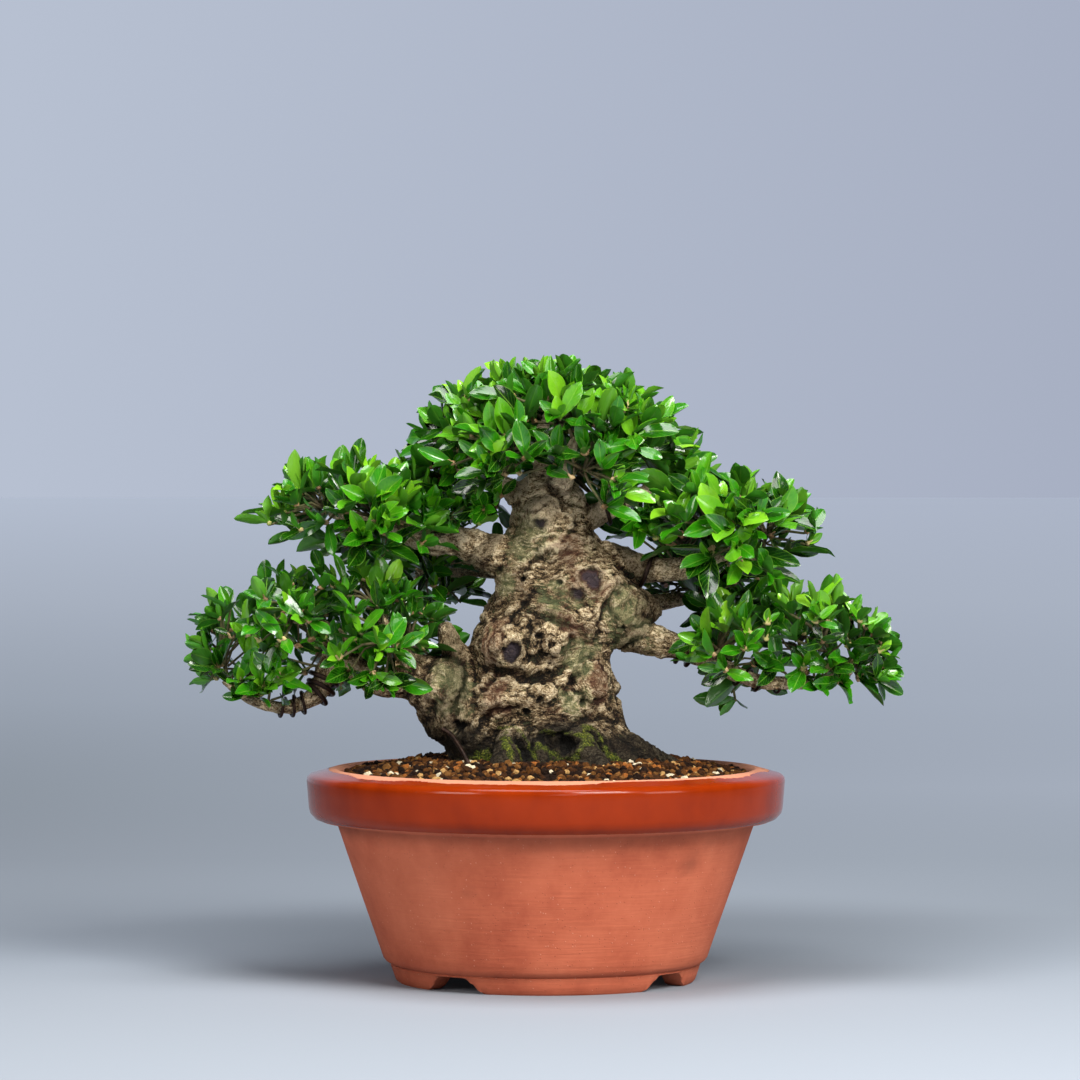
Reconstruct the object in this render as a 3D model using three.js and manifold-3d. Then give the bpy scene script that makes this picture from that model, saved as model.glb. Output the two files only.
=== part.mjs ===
// A gardenia bonsai in a round training pot. Millimetres, +Z up, with the middle of the pot's foot
// at the origin. The front of the tree faces -Y.
import * as THREE from "three";
import { mergeVertices } from "three/addons/utils/BufferGeometryUtils.js";
import Module from "manifold-3d";

const wasm = await Module();
wasm.setup();

// Clear space between touching pieces.
const GAP = 0.35;

// The clay pot.
const RIM_RADIUS = 150;
const RIM_CREST_RADIUS = 132.5;
const RIM_HEIGHT = 133.4;
const BAND_LOW = 101;
const SHOULDER_RADIUS = 131;
const SHOULDER_HEIGHT = 98;
const STEP_RADIUS = 101;
const STEP_HEIGHT = 14;
const FOOT_RADIUS = 94;
const FOOT_INNER_RADIUS = 80;
const FLOOR_LOW = 12;
const FLOOR_TOP = 22;
const WALL = 11;
const POT_SIDES = 32;
const ARCH_WIDTH = 42;
const ARCH_HEIGHT = 9.5;
const FIRST_ARCH_DEG = -37;
const DRAIN_RADIUS = 21;
const WIRE_HOLE_RADIUS = 5;
const WIRE_HOLE_DISTANCE = 52;

// The screen over the drainage hole.
const SCREEN_SIZE = 58;
const SCREEN_THICKNESS = 1.2;
const SCREEN_MESHES = 2;
const SCREEN_MIDDLE = FLOOR_TOP + GAP + SCREEN_THICKNESS / 2;

// The soil and its granules.
const SOIL_HEIGHT = 129;
const SOIL_SIDES = POT_SIDES;
const GRANULE_RELIEF = 1.5;
const STONES = 14;

// The trunk, ring by ring: height, middle X, middle Y, half width, half depth.
const TRUNK_SIDES = 20;
const TRUNK_RINGS = [
  [98, 4, 4, 40, 38],
  [114, 4, 3, 56, 50],
  [127, 5, 2, 65, 57],
  [138, 4, 2, 60, 53],
  [150, 2, 2, 53, 49],
  [163, 0, 2, 49, 46],
  [177, -2, 3, 47, 44],
  [190, -3, 4, 45, 42],
  [202, -3, 4, 43, 41],
  [214, 0, 4, 44, 40],
  [226, 5, 4, 46, 38],
  [238, 9, 4, 44, 37],
  [250, 9, 4, 42, 35],
  [261, 7, 3, 39, 32],
  [271, 5, 2, 34, 29],
  [281, 4, 1, 27, 26],
  [293, 2, 0, 23, 22],
  [305, 2, 0, 20, 19],
  [314, 1, 0, 14, 13],
  [318, 1, 0, 7, 6],
];

// Root buttresses: compass angle from +X in degrees, swell, and angular width in degrees.
const BUTTRESSES = [
  [-158, 8, 13],
  [-114, 9, 9],
  [-97, 7, 8],
  [-66, 9, 9],
  [-36, 9, 12],
  [-4, 10, 12],
  [42, 9, 14],
  [88, 10, 13],
  [132, 9, 14],
  [172, 8, 12],
];
const BUTTRESS_FOOT = 127;
const BUTTRESS_TOP = 168;

// Burls and hollows on the trunk: compass angle, height, swell outwards, angular width in degrees, and height
// of the swelling.
const BURLS = [
  [-128, 213, 13, 24, 14],
  [-8, 230, 20, 30, 15],
  [-96, 181, 7, 22, 11],
  [-62, 224, 7, 20, 12],
  [-48, 249, 8, 24, 13],
  [-42, 190, 6, 20, 13],
  [-138, 178, 7, 18, 14],
  [-90, 292, 4, 60, 14],
  [-90, 238, -5, 40, 8],
  [-78, 168, -4, 30, 6],
  [-88, 147, -7, 12, 10],
  [120, 228, 9, 30, 16],
  [55, 202, 8, 26, 17],
];

// Limbs and surface roots as tapering tubes: each point is X, Y, Z and the radius there. A limb with a pad
// carries that pad's sprays, from the point number carries onwards.
const LIMBS = {
  low_left: {
    pad: "low_left",
    carries: 2,
    points: [
      [-36, -4, 154, 30],
      [-64, -7, 181, 25],
      [-84, -8, 190, 15],
      [-103, -10, 187, 9],
      [-119, -12, 197, 8.5],
      [-131, -12, 204, 8.2],
      [-137, -14, 193, 7.6],
      [-142, -16, 181, 6.4],
      [-153, -17, 174, 5],
      [-167, -18, 172, 4.2],
      [-184, -17, 177, 3.6],
      [-200, -14, 188, 2.8],
    ],
  },
  low_left_upper: {
    pad: "low_left",
    carries: 2,
    points: [
      [-112, -11, 191, 8],
      [-122, -8, 208, 6],
      [-135, -3, 220, 4.6],
      [-154, 2, 226, 3.6],
      [-176, 4, 229, 2.8],
    ],
  },
  low_left_inner: {
    pad: "low_left",
    carries: 1,
    points: [
      [-84, -8, 188, 9],
      [-88, -22, 204, 5.6],
      [-96, -28, 218, 4],
      [-104, -30, 230, 2.8],
    ],
  },
  stub: {
    points: [
      [-52, -8, 198, 11],
      [-59, -9, 210, 7.5],
      [-63, -9, 221, 6],
    ],
  },
  mid_left_back: {
    pad: "mid_left",
    carries: 2,
    points: [
      [4, 20, 250, 13],
      [-20, 40, 256, 8],
      [-48, 56, 257, 5.5],
      [-72, 68, 254, 4],
      [-84, 78, 252, 2.8],
    ],
  },
  up_left: {
    pad: "up_left",
    carries: 2,
    points: [
      [-14, 0, 262, 17],
      [-36, -2, 269, 12.5],
      [-54, -4, 275, 9.5],
      [-71, -5, 275, 8.4],
      [-80, -5, 278, 8],
      [-92, -6, 281, 5.8],
      [-111, -8, 287, 4.4],
      [-134, -10, 293, 3.2],
    ],
  },
  up_right: {
    pad: "up_right",
    carries: 2,
    points: [
      [26, 2, 262, 15],
      [46, -1, 263, 10.5],
      [62, -3, 258, 8.6],
      [84, -4, 258, 7.8],
      [98, -5, 262, 6],
      [118, -6, 265, 4.6],
      [138, -8, 268, 3.2],
    ],
  },
  low_right: {
    pad: "low_right",
    carries: 3,
    points: [
      [50, -8, 222, 16],
      [66, -12, 214, 11],
      [84, -14, 209, 7.4],
      [100, -15, 202, 6],
      [116, -15, 194, 5.4],
      [134, -16, 188, 4.8],
      [154, -16, 187, 4.4],
      [172, -15, 188, 3.8],
      [190, -13, 194, 2.8],
    ],
  },
  low_right_back: {
    pad: "mid_right",
    carries: 2,
    points: [
      [30, 18, 232, 13],
      [52, 32, 234, 8],
      [74, 48, 236, 5.6],
      [96, 60, 239, 4.2],
      [118, 68, 242, 3],
    ],
  },
  crown_right: {
    pad: "crown",
    carries: 1,
    points: [
      [12, -2, 284, 13],
      [34, -4, 293, 7.2],
      [52, -6, 302, 5.6],
      [70, -8, 308, 4.4],
    ],
  },
  crown_left: {
    pad: "crown",
    carries: 1,
    points: [
      [-6, 2, 296, 12],
      [-24, 4, 309, 6.4],
      [-42, 4, 318, 5],
      [-60, 2, 324, 3.8],
      [-74, 0, 332, 2.8],
    ],
  },
  crown_top: {
    pad: "crown",
    carries: 1,
    points: [
      [2, 2, 304, 13],
      [0, 4, 323, 8],
      [-4, 6, 338, 6],
      [2, 8, 352, 4.6],
      [10, 8, 364, 3.2],
    ],
  },
  crown_front: {
    pad: "crown",
    carries: 1,
    points: [
      [6, -6, 304, 11],
      [12, -22, 316, 6],
      [14, -36, 328, 4.6],
      [18, -48, 338, 3],
    ],
  },
  crown_back: {
    pad: "crown",
    carries: 1,
    points: [
      [4, 8, 298, 12],
      [6, 26, 310, 6.6],
      [4, 42, 322, 5],
      [0, 56, 330, 3],
    ],
  },
  root_right: {
    points: [
      [40, -10, 147, 17],
      [60, -13, 139, 12],
      [78, -16, 132, 9],
      [94, -19, 125, 6.5],
      [104, -21, 117, 5],
    ],
  },
  root_front_left: {
    points: [
      [-18, -36, 152, 13],
      [-25, -52, 140, 9],
      [-30, -64, 129, 7.5],
      [-32, -71, 118, 5],
    ],
  },
  root_front_right: {
    points: [
      [22, -40, 146, 13],
      [31, -56, 136, 9],
      [39, -69, 127, 7],
      [43, -76, 117, 5],
    ],
  },
  root_back: {
    points: [
      [14, 38, 150, 16],
      [18, 60, 138, 10],
      [20, 76, 128, 8],
      [20, 84, 117, 5],
    ],
  },
};
const LIMB_SIDES = 6;

// Foliage pads as domes: middle, the reach of their sprays' middles from it, how many sprays, the sine of
// the lowest spray's elevation, and the compass turn of the first spray in degrees.
const PADS = {
  crown: { middle: [3, 0, 316], reach: [76, 60, 60], sprays: 11, lowest: -0.08, turn: 136 },
  up_left: { middle: [-118, -8, 291], reach: [40, 34, 22], sprays: 4, lowest: -0.35, turn: 24 },
  up_right: { middle: [112, -8, 283], reach: [37, 34, 20], sprays: 4, lowest: -0.3, turn: 232 },
  low_left: { middle: [-140, -12, 214], reach: [68, 42, 38], sprays: 7, lowest: -0.45, turn: 336 },
  low_right: { middle: [152, -14, 210], reach: [54, 38, 25], sprays: 5, lowest: -0.4, turn: 304 },
  mid_right: { middle: [104, 66, 246], reach: [30, 28, 16], sprays: 3, lowest: -0.1, turn: 144 },
  mid_left: { middle: [-76, 68, 250], reach: [20, 26, 16], sprays: 2, lowest: 0.2, turn: 280 },
};
const GOLDEN_TURN = Math.PI * (3 - Math.sqrt(5));

// A spray: side twigs around its middle, each with a rosette of leaves in crossed pairs.
const SIDE_TWIGS = 3;
const SPRAY_RADIUS = 14;
const FORK_DEPTH = 15;
const TWIG_SIDES = 3;
const TWIG_RADIUS = 2;
const SIDE_TWIG_RADIUS = 1.9;
const SEAT_SPACING = 7;
const PAIRS = 2;
const LEAF_LENGTH = 25;
const LEAF_WIDTH = 10.4;
const LEAF_THICKNESS = 1.1;

// How a leaf may turn round its twig and rise from its first place, in radians, to keep clear of others.
const LEAF_BENDS = [
  [0, 0],
  [0.3, 0.1],
  [-0.3, 0.1],
  [0, 0.3],
  [0.5, 0.2],
  [-0.5, 0.2],
  [0, 0.55],
  [0.8, 0.3],
  [-0.8, 0.3],
];

// Shaping wires: the limb, the stretch of it from point to point, the turns, and the wire's radius.
const COILS = {
  wire_low_left: { limb: "low_left", from: 6.1, to: 7.2, turns: 3, radius: 1.5 },
  wire_low_left_tip: { limb: "low_left", from: 7.6, to: 9.0, turns: 3, radius: 1 },
  wire_low_right: { limb: "low_right", from: 1.9, to: 2.6, turns: 1.6, radius: 1.5 },
  wire_low_right_tip: { limb: "low_right", from: 4.1, to: 5.6, turns: 2.4, radius: 1 },
  wire_up_right: { limb: "up_right", from: 1.8, to: 2.6, turns: 1.3, radius: 1.5 },
  wire_crown: { limb: "crown_right", from: 1.0, to: 1.9, turns: 1.6, radius: 1.3 },
};
const COIL_STEPS = 7;
const WIRE_SIDES = 4;
const TIE_WIRE_RADIUS = 1.5;
const TIE_WIRE_POINTS = [
  [-64, -28, 159],
  [-59, -31, 156],
  [-55, -36, 151],
  [-51, -42, 145],
  [-47.5, -46, 138],
  [-46, -48, 130],
  [-46, -49, 118],
];

const clay = new THREE.MeshStandardMaterial({ color: 0xc06a4e, roughness: 0.85 });
const plastic = new THREE.MeshStandardMaterial({ color: 0x2b2c2a, roughness: 0.6 });
const soilGrit = new THREE.MeshStandardMaterial({ color: 0x5a3a28, roughness: 0.95 });
const bark = new THREE.MeshStandardMaterial({ color: 0x8c7a5c, roughness: 0.9 });
const foliage = new THREE.MeshStandardMaterial({ color: 0x2f7d24, roughness: 0.4 });
const darkWire = new THREE.MeshStandardMaterial({ color: 0x2c2320, roughness: 0.4, metalness: 0.8 });

const model = new THREE.Group();

/** A repeatable number from 0 to 1 for four whole numbers. */
function draw(a, b = 0, c = 0, d = 0) {
  const wave = Math.sin(a * 12.9898 + b * 78.233 + c * 37.719 + d * 4.581) * 43758.5453;
  return wave - Math.floor(wave);
}

const vector = (point) => new THREE.Vector3(point[0], point[1], point[2]);
const radians = THREE.MathUtils.degToRad;

/** The closed solid of a geometry. */
function solidOf(geometry) {
  const bare = geometry.clone();
  bare.deleteAttribute("normal");
  bare.deleteAttribute("uv");
  const merged = mergeVertices(bare, 1e-4);
  return new wasm.Manifold(
    new wasm.Mesh({
      numProp: 3,
      vertProperties: new Float32Array(merged.attributes.position.array),
      triVerts: new Uint32Array(merged.index.array),
    }),
  );
}

/** The geometry of a solid, with flat-shaded faces. */
function geometryOf(solid) {
  const mesh = solid.getMesh();
  const geometry = new THREE.BufferGeometry();
  geometry.setAttribute("position", new THREE.BufferAttribute(mesh.vertProperties, 3));
  geometry.setIndex(new THREE.BufferAttribute(mesh.triVerts, 1));
  geometry.computeVertexNormals();
  return geometry;
}

/** Adds a solid to the model as a named piece. */
function addPiece(name, solid, material) {
  const mesh = new THREE.Mesh(geometryOf(solid), material);
  mesh.name = name;
  model.add(mesh);
}

/** Moves every vertex of a geometry to the place that rule gives for it. */
function reshape(geometry, rule) {
  const places = geometry.attributes.position;
  for (let i = 0; i < places.count; i++) {
    const place = rule(new THREE.Vector3().fromBufferAttribute(places, i));
    places.setXYZ(i, place.x, place.y, place.z);
  }
  return geometry;
}

/** A limb's path: its middle, radius and two cross directions at a place counted in points. */
class LimbPath {
  constructor(points) {
    this.points = points;
    this.curve = new THREE.CatmullRomCurve3(points.map(vector), false, "centripetal");
    this.last = points.length - 1;
    const start = this.curve.getTangent(0);
    const side = new THREE.Vector3(0, 1, 0).addScaledVector(start, -start.y).normalize();
    this.sides = [side];
    for (let k = 1; k <= this.last * 4; k++) {
      const along = this.curve.getTangent(k / (this.last * 4));
      const next = this.sides[k - 1].clone();
      next.addScaledVector(along, -next.dot(along)).normalize();
      this.sides.push(next);
    }
  }

  at(place) {
    const held = Math.min(Math.max(place, 0), this.last);
    const point = Math.min(Math.floor(held), this.last - 1);
    const share = held - point;
    const middle = this.curve.getPoint(held / this.last);
    const along = this.curve.getTangent(held / this.last);
    const side = this.sides[Math.round(held * 4)].clone();
    side.addScaledVector(along, -side.dot(along)).normalize();
    return {
      middle,
      along,
      side,
      cross: new THREE.Vector3().crossVectors(side, along),
      radius: this.points[point][3] * (1 - share) + this.points[point + 1][3] * share,
    };
  }
}

/** A tapering tube along points of X, Y, Z and radius. */
function tube(points, sides, grow = 0) {
  const path = new LimbPath(points);
  const shell = new THREE.CylinderGeometry(1, 1, 1, sides, path.last);
  reshape(shell, (vertex) => {
    const end = vertex.y * 2 * grow;
    const here = path.at((vertex.y + 0.5) * path.last);
    const spread = here.radius + grow;
    return here.middle
      .addScaledVector(here.side, vertex.x * spread)
      .addScaledVector(here.cross, vertex.z * spread)
      .addScaledVector(here.along, Math.abs(vertex.y) > 0.49 ? end : 0);
  });
  return solidOf(shell);
}

/** How far the roots swell the trunk outwards at a compass angle and a height. */
function buttressSwell(angle, height) {
  const rise = (BUTTRESS_TOP - height) / (BUTTRESS_TOP - BUTTRESS_FOOT);
  const fade = Math.pow(Math.min(Math.max(rise, 0), 1), 1.4);
  let swell = 0;
  for (const [middle, size, width] of BUTTRESSES) {
    const off = Math.atan2(Math.sin(angle - radians(middle)), Math.cos(angle - radians(middle)));
    swell += size * Math.exp(-Math.pow(off / radians(width), 2));
  }
  return fade * (swell - 3);
}

/** How far the burls swell the trunk outwards at a compass angle and a height. */
function burlSwell(angle, height) {
  let swell = 0;
  for (const [middle, level, size, width, tall] of BURLS) {
    const off = Math.atan2(Math.sin(angle - radians(middle)), Math.cos(angle - radians(middle)));
    swell += size * Math.exp(-Math.pow(off / radians(width), 2) - Math.pow((height - level) / tall, 2));
  }
  return swell;
}

/** The trunk with its roots and limbs as one solid, grown outwards on every side by grow. */
function trunkSolid(grow = 0) {
  const rings = TRUNK_RINGS.length - 1;
  const shell = new THREE.CylinderGeometry(1, 1, 1, TRUNK_SIDES, rings);
  reshape(shell, (vertex) => {
    const ring = Math.round((vertex.y + 0.5) * rings);
    const [height, middleX, middleY, halfWidth, halfDepth] = TRUNK_RINGS[ring];
    const angle = Math.atan2(-vertex.z, vertex.x);
    const reach = Math.hypot(vertex.x, vertex.z);
    const lumps = 1.3 * Math.sin(3 * angle + height / 9) + 1.1 * Math.sin(5 * angle - height / 14);
    const swell = buttressSwell(angle, height) + burlSwell(angle, height) + lumps + grow;
    const end = ring === 0 ? -grow : ring === rings ? grow : 0;
    return new THREE.Vector3(
      middleX + reach * (halfWidth + swell) * Math.cos(angle),
      middleY + reach * (halfDepth + swell) * Math.sin(angle),
      height + end,
    );
  });
  let whole = solidOf(shell);
  for (const limb of Object.values(LIMBS)) {
    whole = whole.add(tube(limb.points, LIMB_SIDES, grow));
  }
  return whole;
}

/** The pot: a turned profile with arches cut in its foot and holes in its floor. */
function potSolid() {
  const wallFoot = STEP_RADIUS - WALL;
  const profile = [
    [DRAIN_RADIUS, FLOOR_LOW],
    [FOOT_INNER_RADIUS, FLOOR_LOW],
    [FOOT_INNER_RADIUS + 1, 0],
    [FOOT_RADIUS, 0],
    [FOOT_RADIUS + 3.2, FLOOR_LOW - 1.2],
    [STEP_RADIUS, STEP_HEIGHT],
    [SHOULDER_RADIUS - 0.5, SHOULDER_HEIGHT],
    [RIM_RADIUS - 7, BAND_LOW],
    [RIM_RADIUS - 2, BAND_LOW + 6],
    [RIM_RADIUS, RIM_HEIGHT - 6],
    [RIM_RADIUS - 4, RIM_HEIGHT - 3.6],
    [RIM_CREST_RADIUS, RIM_HEIGHT],
    [RIM_CREST_RADIUS - 3.5, RIM_HEIGHT - 2.4],
    [SHOULDER_RADIUS - WALL, SHOULDER_HEIGHT],
    [wallFoot + 2, FLOOR_TOP],
    [DRAIN_RADIUS, FLOOR_TOP],
    [DRAIN_RADIUS, FLOOR_LOW],
  ];
  const turned = new THREE.LatheGeometry(
    profile.map(([radius, height]) => new THREE.Vector2(radius, height)),
    POT_SIDES,
  );
  let pot = solidOf(turned.rotateX(Math.PI / 2));
  const arch = new THREE.Shape();
  arch.moveTo(-ARCH_WIDTH / 2, -1);
  arch.lineTo(ARCH_WIDTH / 2, -1);
  arch.lineTo(ARCH_WIDTH / 2 - 2, ARCH_HEIGHT * 0.6);
  arch.lineTo(ARCH_WIDTH / 2 - 7, ARCH_HEIGHT);
  arch.lineTo(-ARCH_WIDTH / 2 + 7, ARCH_HEIGHT);
  arch.lineTo(-ARCH_WIDTH / 2 + 2, ARCH_HEIGHT * 0.6);
  const archDepth = FOOT_RADIUS + 10 - (FOOT_INNER_RADIUS - 14);
  for (let quarter = 0; quarter < 4; quarter++) {
    const cutter = new THREE.ExtrudeGeometry(arch, { depth: archDepth, bevelEnabled: false });
    cutter.rotateX(Math.PI / 2);
    cutter.translate(0, -(FOOT_INNER_RADIUS - 14), 0);
    cutter.rotateZ(radians(FIRST_ARCH_DEG + quarter * 90));
    pot = pot.subtract(solidOf(cutter));
  }
  for (let hole = 0; hole < 4; hole++) {
    const bore = new THREE.CylinderGeometry(WIRE_HOLE_RADIUS, WIRE_HOLE_RADIUS, 30, 6);
    bore.rotateX(Math.PI / 2);
    bore.translate(WIRE_HOLE_DISTANCE, 0, (FLOOR_LOW + FLOOR_TOP) / 2);
    bore.rotateZ(radians(45 + hole * 90));
    pot = pot.subtract(solidOf(bore));
  }
  return pot;
}

/** The square screen over the drainage hole, with square meshes. */
function screenSolid() {
  const plate = new THREE.BoxGeometry(SCREEN_SIZE, SCREEN_SIZE, SCREEN_THICKNESS);
  let screen = solidOf(plate.translate(0, 0, SCREEN_MIDDLE));
  const pitch = SCREEN_SIZE / (SCREEN_MESHES + 0.4);
  for (let mesh = 0; mesh < SCREEN_MESHES * SCREEN_MESHES; mesh++) {
    const column = (mesh % SCREEN_MESHES) - (SCREEN_MESHES - 1) / 2;
    const row = Math.floor(mesh / SCREEN_MESHES) - (SCREEN_MESHES - 1) / 2;
    const opening = new THREE.BoxGeometry(pitch * 0.76, pitch * 0.76, SCREEN_THICKNESS * 3);
    screen = screen.subtract(solidOf(opening.translate(column * pitch, row * pitch, SCREEN_MIDDLE)));
  }
  return screen;
}

/** The soil: it fills the pot, with granules as relief and as stones, and a plain hole for the plant. */
function soilSolid(hole) {
  const wallFoot = STEP_RADIUS - WALL + 2 - GAP * 1.4;
  const wallShoulder = SHOULDER_RADIUS - WALL - GAP * 1.4;
  const wallTop = RIM_CREST_RADIUS - 3.5 - GAP * 1.4;
  const lean = (wallTop - wallShoulder) / (RIM_HEIGHT - 2.4 - SHOULDER_HEIGHT);
  const edge = wallShoulder + lean * (SOIL_HEIGHT - 3 - SHOULDER_HEIGHT);
  const bottom = FLOOR_TOP + GAP;
  const topRings = [0.95, 0.88, 0.8, 0.71, 0.58];
  const profile = [
    [0, bottom],
    [wallFoot, bottom],
    [wallShoulder, SHOULDER_HEIGHT],
    [edge, SOIL_HEIGHT - 3],
    ...topRings.map((share) => [share * edge, SOIL_HEIGHT]),
    [0, SOIL_HEIGHT],
  ];
  const turned = new THREE.LatheGeometry(
    profile.map(([radius, height]) => new THREE.Vector2(radius, height)),
    SOIL_SIDES,
  );
  turned.rotateX(Math.PI / 2);
  reshape(turned, (vertex) => {
    const radius = Math.hypot(vertex.x, vertex.y);
    if (vertex.z < SOIL_HEIGHT - 1 || radius < 1) {
      return vertex;
    }
    const column = Math.round((Math.atan2(vertex.y, vertex.x) / Math.PI / 2) * SOIL_SIDES + SOIL_SIDES);
    const spot = (column % SOIL_SIDES) + 100 * Math.round(radius);
    const heap = 2 * Math.exp(-Math.pow((radius - edge) / 9, 2));
    vertex.z += heap + GRANULE_RELIEF * (draw(spot) * 2 - 1);
    vertex.x += 1.6 * (draw(spot, 1) * 2 - 1);
    vertex.y += 1.6 * (draw(spot, 2) * 2 - 1);
    return vertex;
  });
  let soil = solidOf(turned);
  for (let stone = 0; stone < STONES; stone++) {
    const size = 2.6 + 1.6 * draw(stone, 3);
    const radius = 84 + 34 * draw(stone, 4);
    const angle = stone * GOLDEN_TURN + draw(stone, 5);
    const pebble = new THREE.OctahedronGeometry(size);
    pebble.rotateX(draw(stone, 6) * 3).rotateZ(draw(stone, 7) * 3);
    pebble.translate(radius * Math.cos(angle), radius * Math.sin(angle), SOIL_HEIGHT + 0.6);
    soil = soil.add(solidOf(pebble));
  }
  const pit = new THREE.BoxGeometry(SCREEN_SIZE + 1, SCREEN_SIZE + 1, SCREEN_THICKNESS * 2 + GAP * 2);
  pit.translate(0, 0, bottom);
  return soil.subtract(solidOf(pit)).subtract(hole);
}

/** A wire coiled on a limb. */
function coilSolid({ limb, from, to, turns, radius }) {
  const path = new LimbPath(LIMBS[limb].points);
  const steps = Math.round(turns * COIL_STEPS);
  const points = [];
  for (let step = 0; step <= steps; step++) {
    const here = path.at(from + ((to - from) * step) / steps);
    const angle = (step / COIL_STEPS) * Math.PI * 2;
    const reach = (here.radius + radius + GAP) / Math.cos(Math.PI / COIL_STEPS);
    points.push(
      here.middle
        .addScaledVector(here.side, reach * Math.cos(angle))
        .addScaledVector(here.cross, reach * Math.sin(angle)),
    );
  }
  return wireSolid(points, radius, steps);
}

/** A wire of a radius through points. */
function wireSolid(points, radius, steps) {
  const section = new THREE.Shape();
  for (let side = 0; side < WIRE_SIDES; side++) {
    const angle = (side / WIRE_SIDES) * Math.PI * 2;
    section[side ? "lineTo" : "moveTo"](radius * Math.cos(angle), radius * Math.sin(angle));
  }
  const extrudePath = new THREE.CatmullRomCurve3(points);
  return solidOf(new THREE.ExtrudeGeometry(section, { steps, extrudePath, bevelEnabled: false }));
}

/** The places of a pad's sprays: their middles and outward directions. */
function sprayPlaces({ middle, reach, sprays, lowest, turn }) {
  const places = [];
  for (let spray = 0; spray < sprays; spray++) {
    const rise = 1 - ((spray + 0.5) / sprays) * (1 - lowest);
    const flat = Math.sqrt(1 - rise * rise);
    const angle = radians(turn) + spray * GOLDEN_TURN;
    const out = new THREE.Vector3(flat * Math.cos(angle), flat * Math.sin(angle), rise);
    const spot = vector(middle).add(out.clone().multiply(vector(reach)));
    const outward = out.divide(vector(reach)).normalize();
    outward.z += 0.35;
    places.push({ spot, outward: outward.normalize() });
  }
  return places;
}

/** Two directions that span the plane across a direction. */
function crossDirections(direction) {
  const helper = Math.abs(direction.z) < 0.9 ? new THREE.Vector3(0, 0, 1) : new THREE.Vector3(1, 0, 0);
  const first = new THREE.Vector3().crossVectors(helper, direction).normalize();
  const second = new THREE.Vector3().crossVectors(direction, first).normalize();
  return [first, second];
}

/** A leaf: a blade with a keeled underside, with its root at a point. */
function leafSolid({ root, along, up, length, width, grow = 0 }) {
  const across = new THREE.Vector3().crossVectors(along, up).normalize();
  const face = new THREE.Vector3().crossVectors(across, along).normalize();
  const blade = new THREE.SphereGeometry(1, 3, 3);
  reshape(blade, (vertex) => {
    const station = vertex.y > 0.9 ? 3 : vertex.y > 0 ? 2 : vertex.y > -0.9 ? 1 : 0;
    const forward = [0, 0.34 * length, 0.7 * length, length + grow][station];
    const spread = [0, 0.5, 0.44, 0][station] * width;
    const keel = vertex.x < -0.3 && spread > 0;
    const sideways = keel || !spread ? 0 : -Math.sign(vertex.z) * (spread + grow);
    const level = [0, 0.5, 0.1, -1.6][station];
    const lift = keel ? -LEAF_THICKNESS - grow : spread ? grow : 0;
    return root
      .clone()
      .addScaledVector(along, forward)
      .addScaledVector(across, sideways)
      .addScaledVector(face, level + lift);
  });
  return solidOf(blade);
}

/** Whether a solid meets any of the others. */
function meets(solid, others) {
  const box = solid.boundingBox();
  return others.some((other) => {
    const apart = [0, 1, 2].some(
      (axis) => box.min[axis] > other.box.max[axis] || box.max[axis] < other.box.min[axis],
    );
    return !apart && !solid.intersect(other.solid).isEmpty();
  });
}

const boxed = (solid, owner) => ({ solid, owner, box: solid.boundingBox() });

const trunk = trunkSolid();
const trunkSpace = trunkSolid(GAP);
const pot = potSolid();
const wires = Object.entries(COILS).map(([name, coil]) => [name, coilSolid(coil)]);
wires.push(["wire_tie_down", wireSolid(TIE_WIRE_POINTS.map(vector), TIE_WIRE_RADIUS, 10)]);
const tieSpace = wireSolid(
  [...TIE_WIRE_POINTS.map(vector), vector([-46, -49, 114])],
  TIE_WIRE_RADIUS + GAP * 1.4,
  11,
);
const soil = soilSolid(trunkSolid(GAP * 1.4).add(tieSpace));

/** The places on a pad's limbs where a twig may sit, clear of the coiled wires. */
function seatsOf(pad) {
  const seats = [];
  for (const [name, limb] of Object.entries(LIMBS)) {
    if (limb.pad !== pad) {
      continue;
    }
    const path = new LimbPath(limb.points);
    const coils = Object.values(COILS).filter((coil) => coil.limb === name);
    for (let place = limb.carries; place < path.last - 0.1; place += 0.125) {
      const wired = coils.some((coil) => place > coil.from - 0.3 && place < coil.to + 0.3);
      if (!wired) {
        seats.push(path.at(place).middle);
      }
    }
  }
  return seats;
}

/** Plans every spray: its middle, outward direction, seat, fork and the tips of its side twigs. */
function planSprays() {
  const plans = [];
  Object.entries(PADS).forEach(([pad, dome], padNumber) => {
    const free = seatsOf(pad);
    sprayPlaces(dome).forEach(({ spot, outward }, spray) => {
      const cost = (seat) => seat.distanceTo(spot);
      const seat = free.reduce((best, other) => (cost(other) < cost(best) ? other : best));
      for (let k = free.length - 1; k >= 0; k--) {
        if (free[k].distanceTo(seat) < SEAT_SPACING && free.length > 1) {
          free.splice(k, 1);
        }
      }
      const seed = padNumber * 20 + spray;
      const fork = seat.clone().lerp(spot, Math.max(1 - FORK_DEPTH / seat.distanceTo(spot), 0.45));
      const [first, second] = crossDirections(outward);
      const tips = [];
      for (let side = 0; side < SIDE_TWIGS; side++) {
        const angle = (side / SIDE_TWIGS) * Math.PI * 2 + draw(seed, 1) * Math.PI * 2;
        const off = first.clone().multiplyScalar(Math.cos(angle)).addScaledVector(second, Math.sin(angle));
        const tip = spot.clone().addScaledVector(off, SPRAY_RADIUS).addScaledVector(outward, -3);
        const axis = outward.clone().addScaledVector(off, 0.55).normalize();
        tips.push({ tip, axis });
      }
      plans.push({ name: `spray_${pad}_${spray + 1}`, seed, seat, fork, tips });
    });
  });
  return plans;
}

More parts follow.
